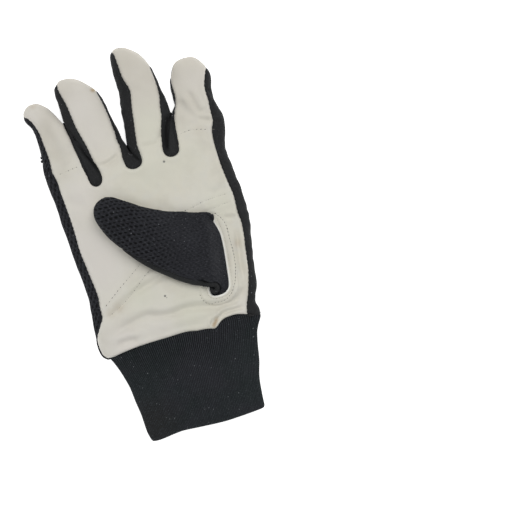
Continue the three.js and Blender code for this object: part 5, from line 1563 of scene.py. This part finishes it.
# One mesh of many small rods, each at its place, along its direction, its top along the normal
def strew(name, places, directions, normals, size, material):
    size = np.broadcast_to(size, places.shape)
    body, faces = capsule()
    side = np.cross(normals, directions)
    side /= np.linalg.norm(side, axis=1, keepdims=True)
    ahead = np.cross(side, normals)
    axes = np.stack([ahead * size[:, :1], side * size[:, 1:2], normals * size[:, 2:]], 1)
    points = (places[:, None] + np.einsum("mk,nkc->nmc", body, axes)).reshape(-1, 3)
    quads = (faces[None] + len(body) * np.arange(len(places))[:, None, None]).reshape(-1, 4)
    if np.einsum("ij,ij->i", faceVectors(points, quads), points[quads[:, 0]]).sum() < 0:
        quads = quads[:, ::-1]
    return finishPiece(makeMesh(name, points, quads, uv=False), material, [])


# Thread and hole places of one row on the surface z = height(x, y)
def sewn(row, height, rng):
    line = drawLine(row["line"], row["pitch"] / 2)
    x, y = line[:, 0] + rng.normal(0, 0.05, len(line)), line[:, 1] + rng.normal(0, 0.05, len(line))
    z = height(x, y)
    ahead = np.gradient(np.stack([x, y, z], -1), axis=0)
    ahead /= np.linalg.norm(ahead, axis=1, keepdims=True)
    e = 0.3
    slope = np.stack([-(height(x + e, y) - height(x - e, y)) / (2 * e),
                      -(height(x, y + e) - height(x, y - e)) / (2 * e), np.ones(len(x))], -1)
    slope /= np.linalg.norm(slope, axis=1, keepdims=True)
    xyz = np.stack([x, y, z], -1)
    scale = row["hole"] * rng.uniform(0.7, 1.2, len(x))[:, None]
    return (xyz[1::2], ahead[1::2], slope[1::2]), (xyz[0::2], ahead[0::2], slope[0::2], scale[0::2])


# Height of the leather with its folds
def leatherTopZ(x, y):
    return topZ(x, y) + leatherRelief(x, y)


rng = np.random.default_rng(6)
sets = [sewn(row, leatherTopZ, rng) for row in stitchRows.values()]
sets += [sewn(row, facingTop, rng) for row in rimRows.values()]
rod, pit = ([np.concatenate([part[k][j] for part in sets]) for j in range(3 + k)] for k in range(2))
strew("Threads", rod[0] - rod[2] * threads["sunk"], rod[1], rod[2],
      (threads["length"] / 2, threads["radius"], threads["radius"]), thread)
strew("NeedleHoles", pit[0], pit[1], pit[2],
      np.array(threads["hole"]) * pit[3], pitShade)
print("stitches", len(rod[0]))


# Stage, light and camera: a plain white sheet under a wide soft light, seen from straight above

shot = {
    "over": (47.6, -20.1),  # x and y under the camera
    "distance": 1500.0,     # camera over the table
    "height": 8.0,          # height at which the field is measured
    "field": 327.7,         # width of what it sees
    "turn": -15.0,          # degrees that the glove is turned in the picture
}
studio = {
    "paper": (0.93, 0.93, 0.93, 1), "paperGlow": 0.75, "paperDrop": 0.0006,  # metres under the glove
    "sky": (0.95, 0.98, 1, 1), "skyStrength": 0.4,
    "lampColour": (1, 0.98, 0.94),
    "lamps": {  # place and width in metres, power in watts
        "KeyLight": {"place": (0.5, 0.65, 1.25), "width": 1.1, "power": 11.5},
        "FillLight": {"place": (-0.9, -0.7, 1.3), "width": 1.2, "power": 7.0},
    },
}

bpy.ops.mesh.primitive_plane_add(size=4, location=(0, 0, -studio["paperDrop"]))
floor = bpy.context.object
floor.name = "Floor"
paper, _, skin = newMaterial("FloorPaper")
skin.inputs["Base Color"].default_value = studio["paper"]
skin.inputs["Roughness"].default_value = 0.9
skin.inputs["Emission Color"].default_value = (1, 1, 1, 1)
skin.inputs["Emission Strength"].default_value = studio["paperGlow"]
floor.data.materials.append(paper)

world = bpy.data.worlds.new("Studio")
world.use_nodes = True
sky = world.node_tree.nodes["Background"]
sky.inputs["Color"].default_value = studio["sky"]
sky.inputs["Strength"].default_value = studio["skyStrength"]
bpy.context.scene.world = world

for name, lamp in studio["lamps"].items():
    light = bpy.data.objects.new(name, bpy.data.lights.new(name, "AREA"))
    light.data.size = lamp["width"]
    light.data.energy = lamp["power"]
    light.data.color = studio["lampColour"]
    light.location = lamp["place"]
    light.rotation_euler = (-Vector(lamp["place"])).to_track_quat("-Z", "Y").to_euler()
    bpy.context.scene.collection.objects.link(light)

camera = bpy.data.objects.new("Camera", bpy.data.cameras.new("Camera"))
camera.location = ((shot["over"][0] + offset[0]) / 1000, (shot["over"][1] + offset[1]) / 1000,
                   shot["distance"] / 1000)
camera.rotation_euler = (0, 0, math.radians(shot["turn"]))
camera.data.lens = camera.data.sensor_width * (shot["distance"] - shot["height"]) / shot["field"]
bpy.context.scene.collection.objects.link(camera)
bpy.context.scene.camera = camera
bpy.context.scene.view_settings.view_transform = "Standard"

print("ready")
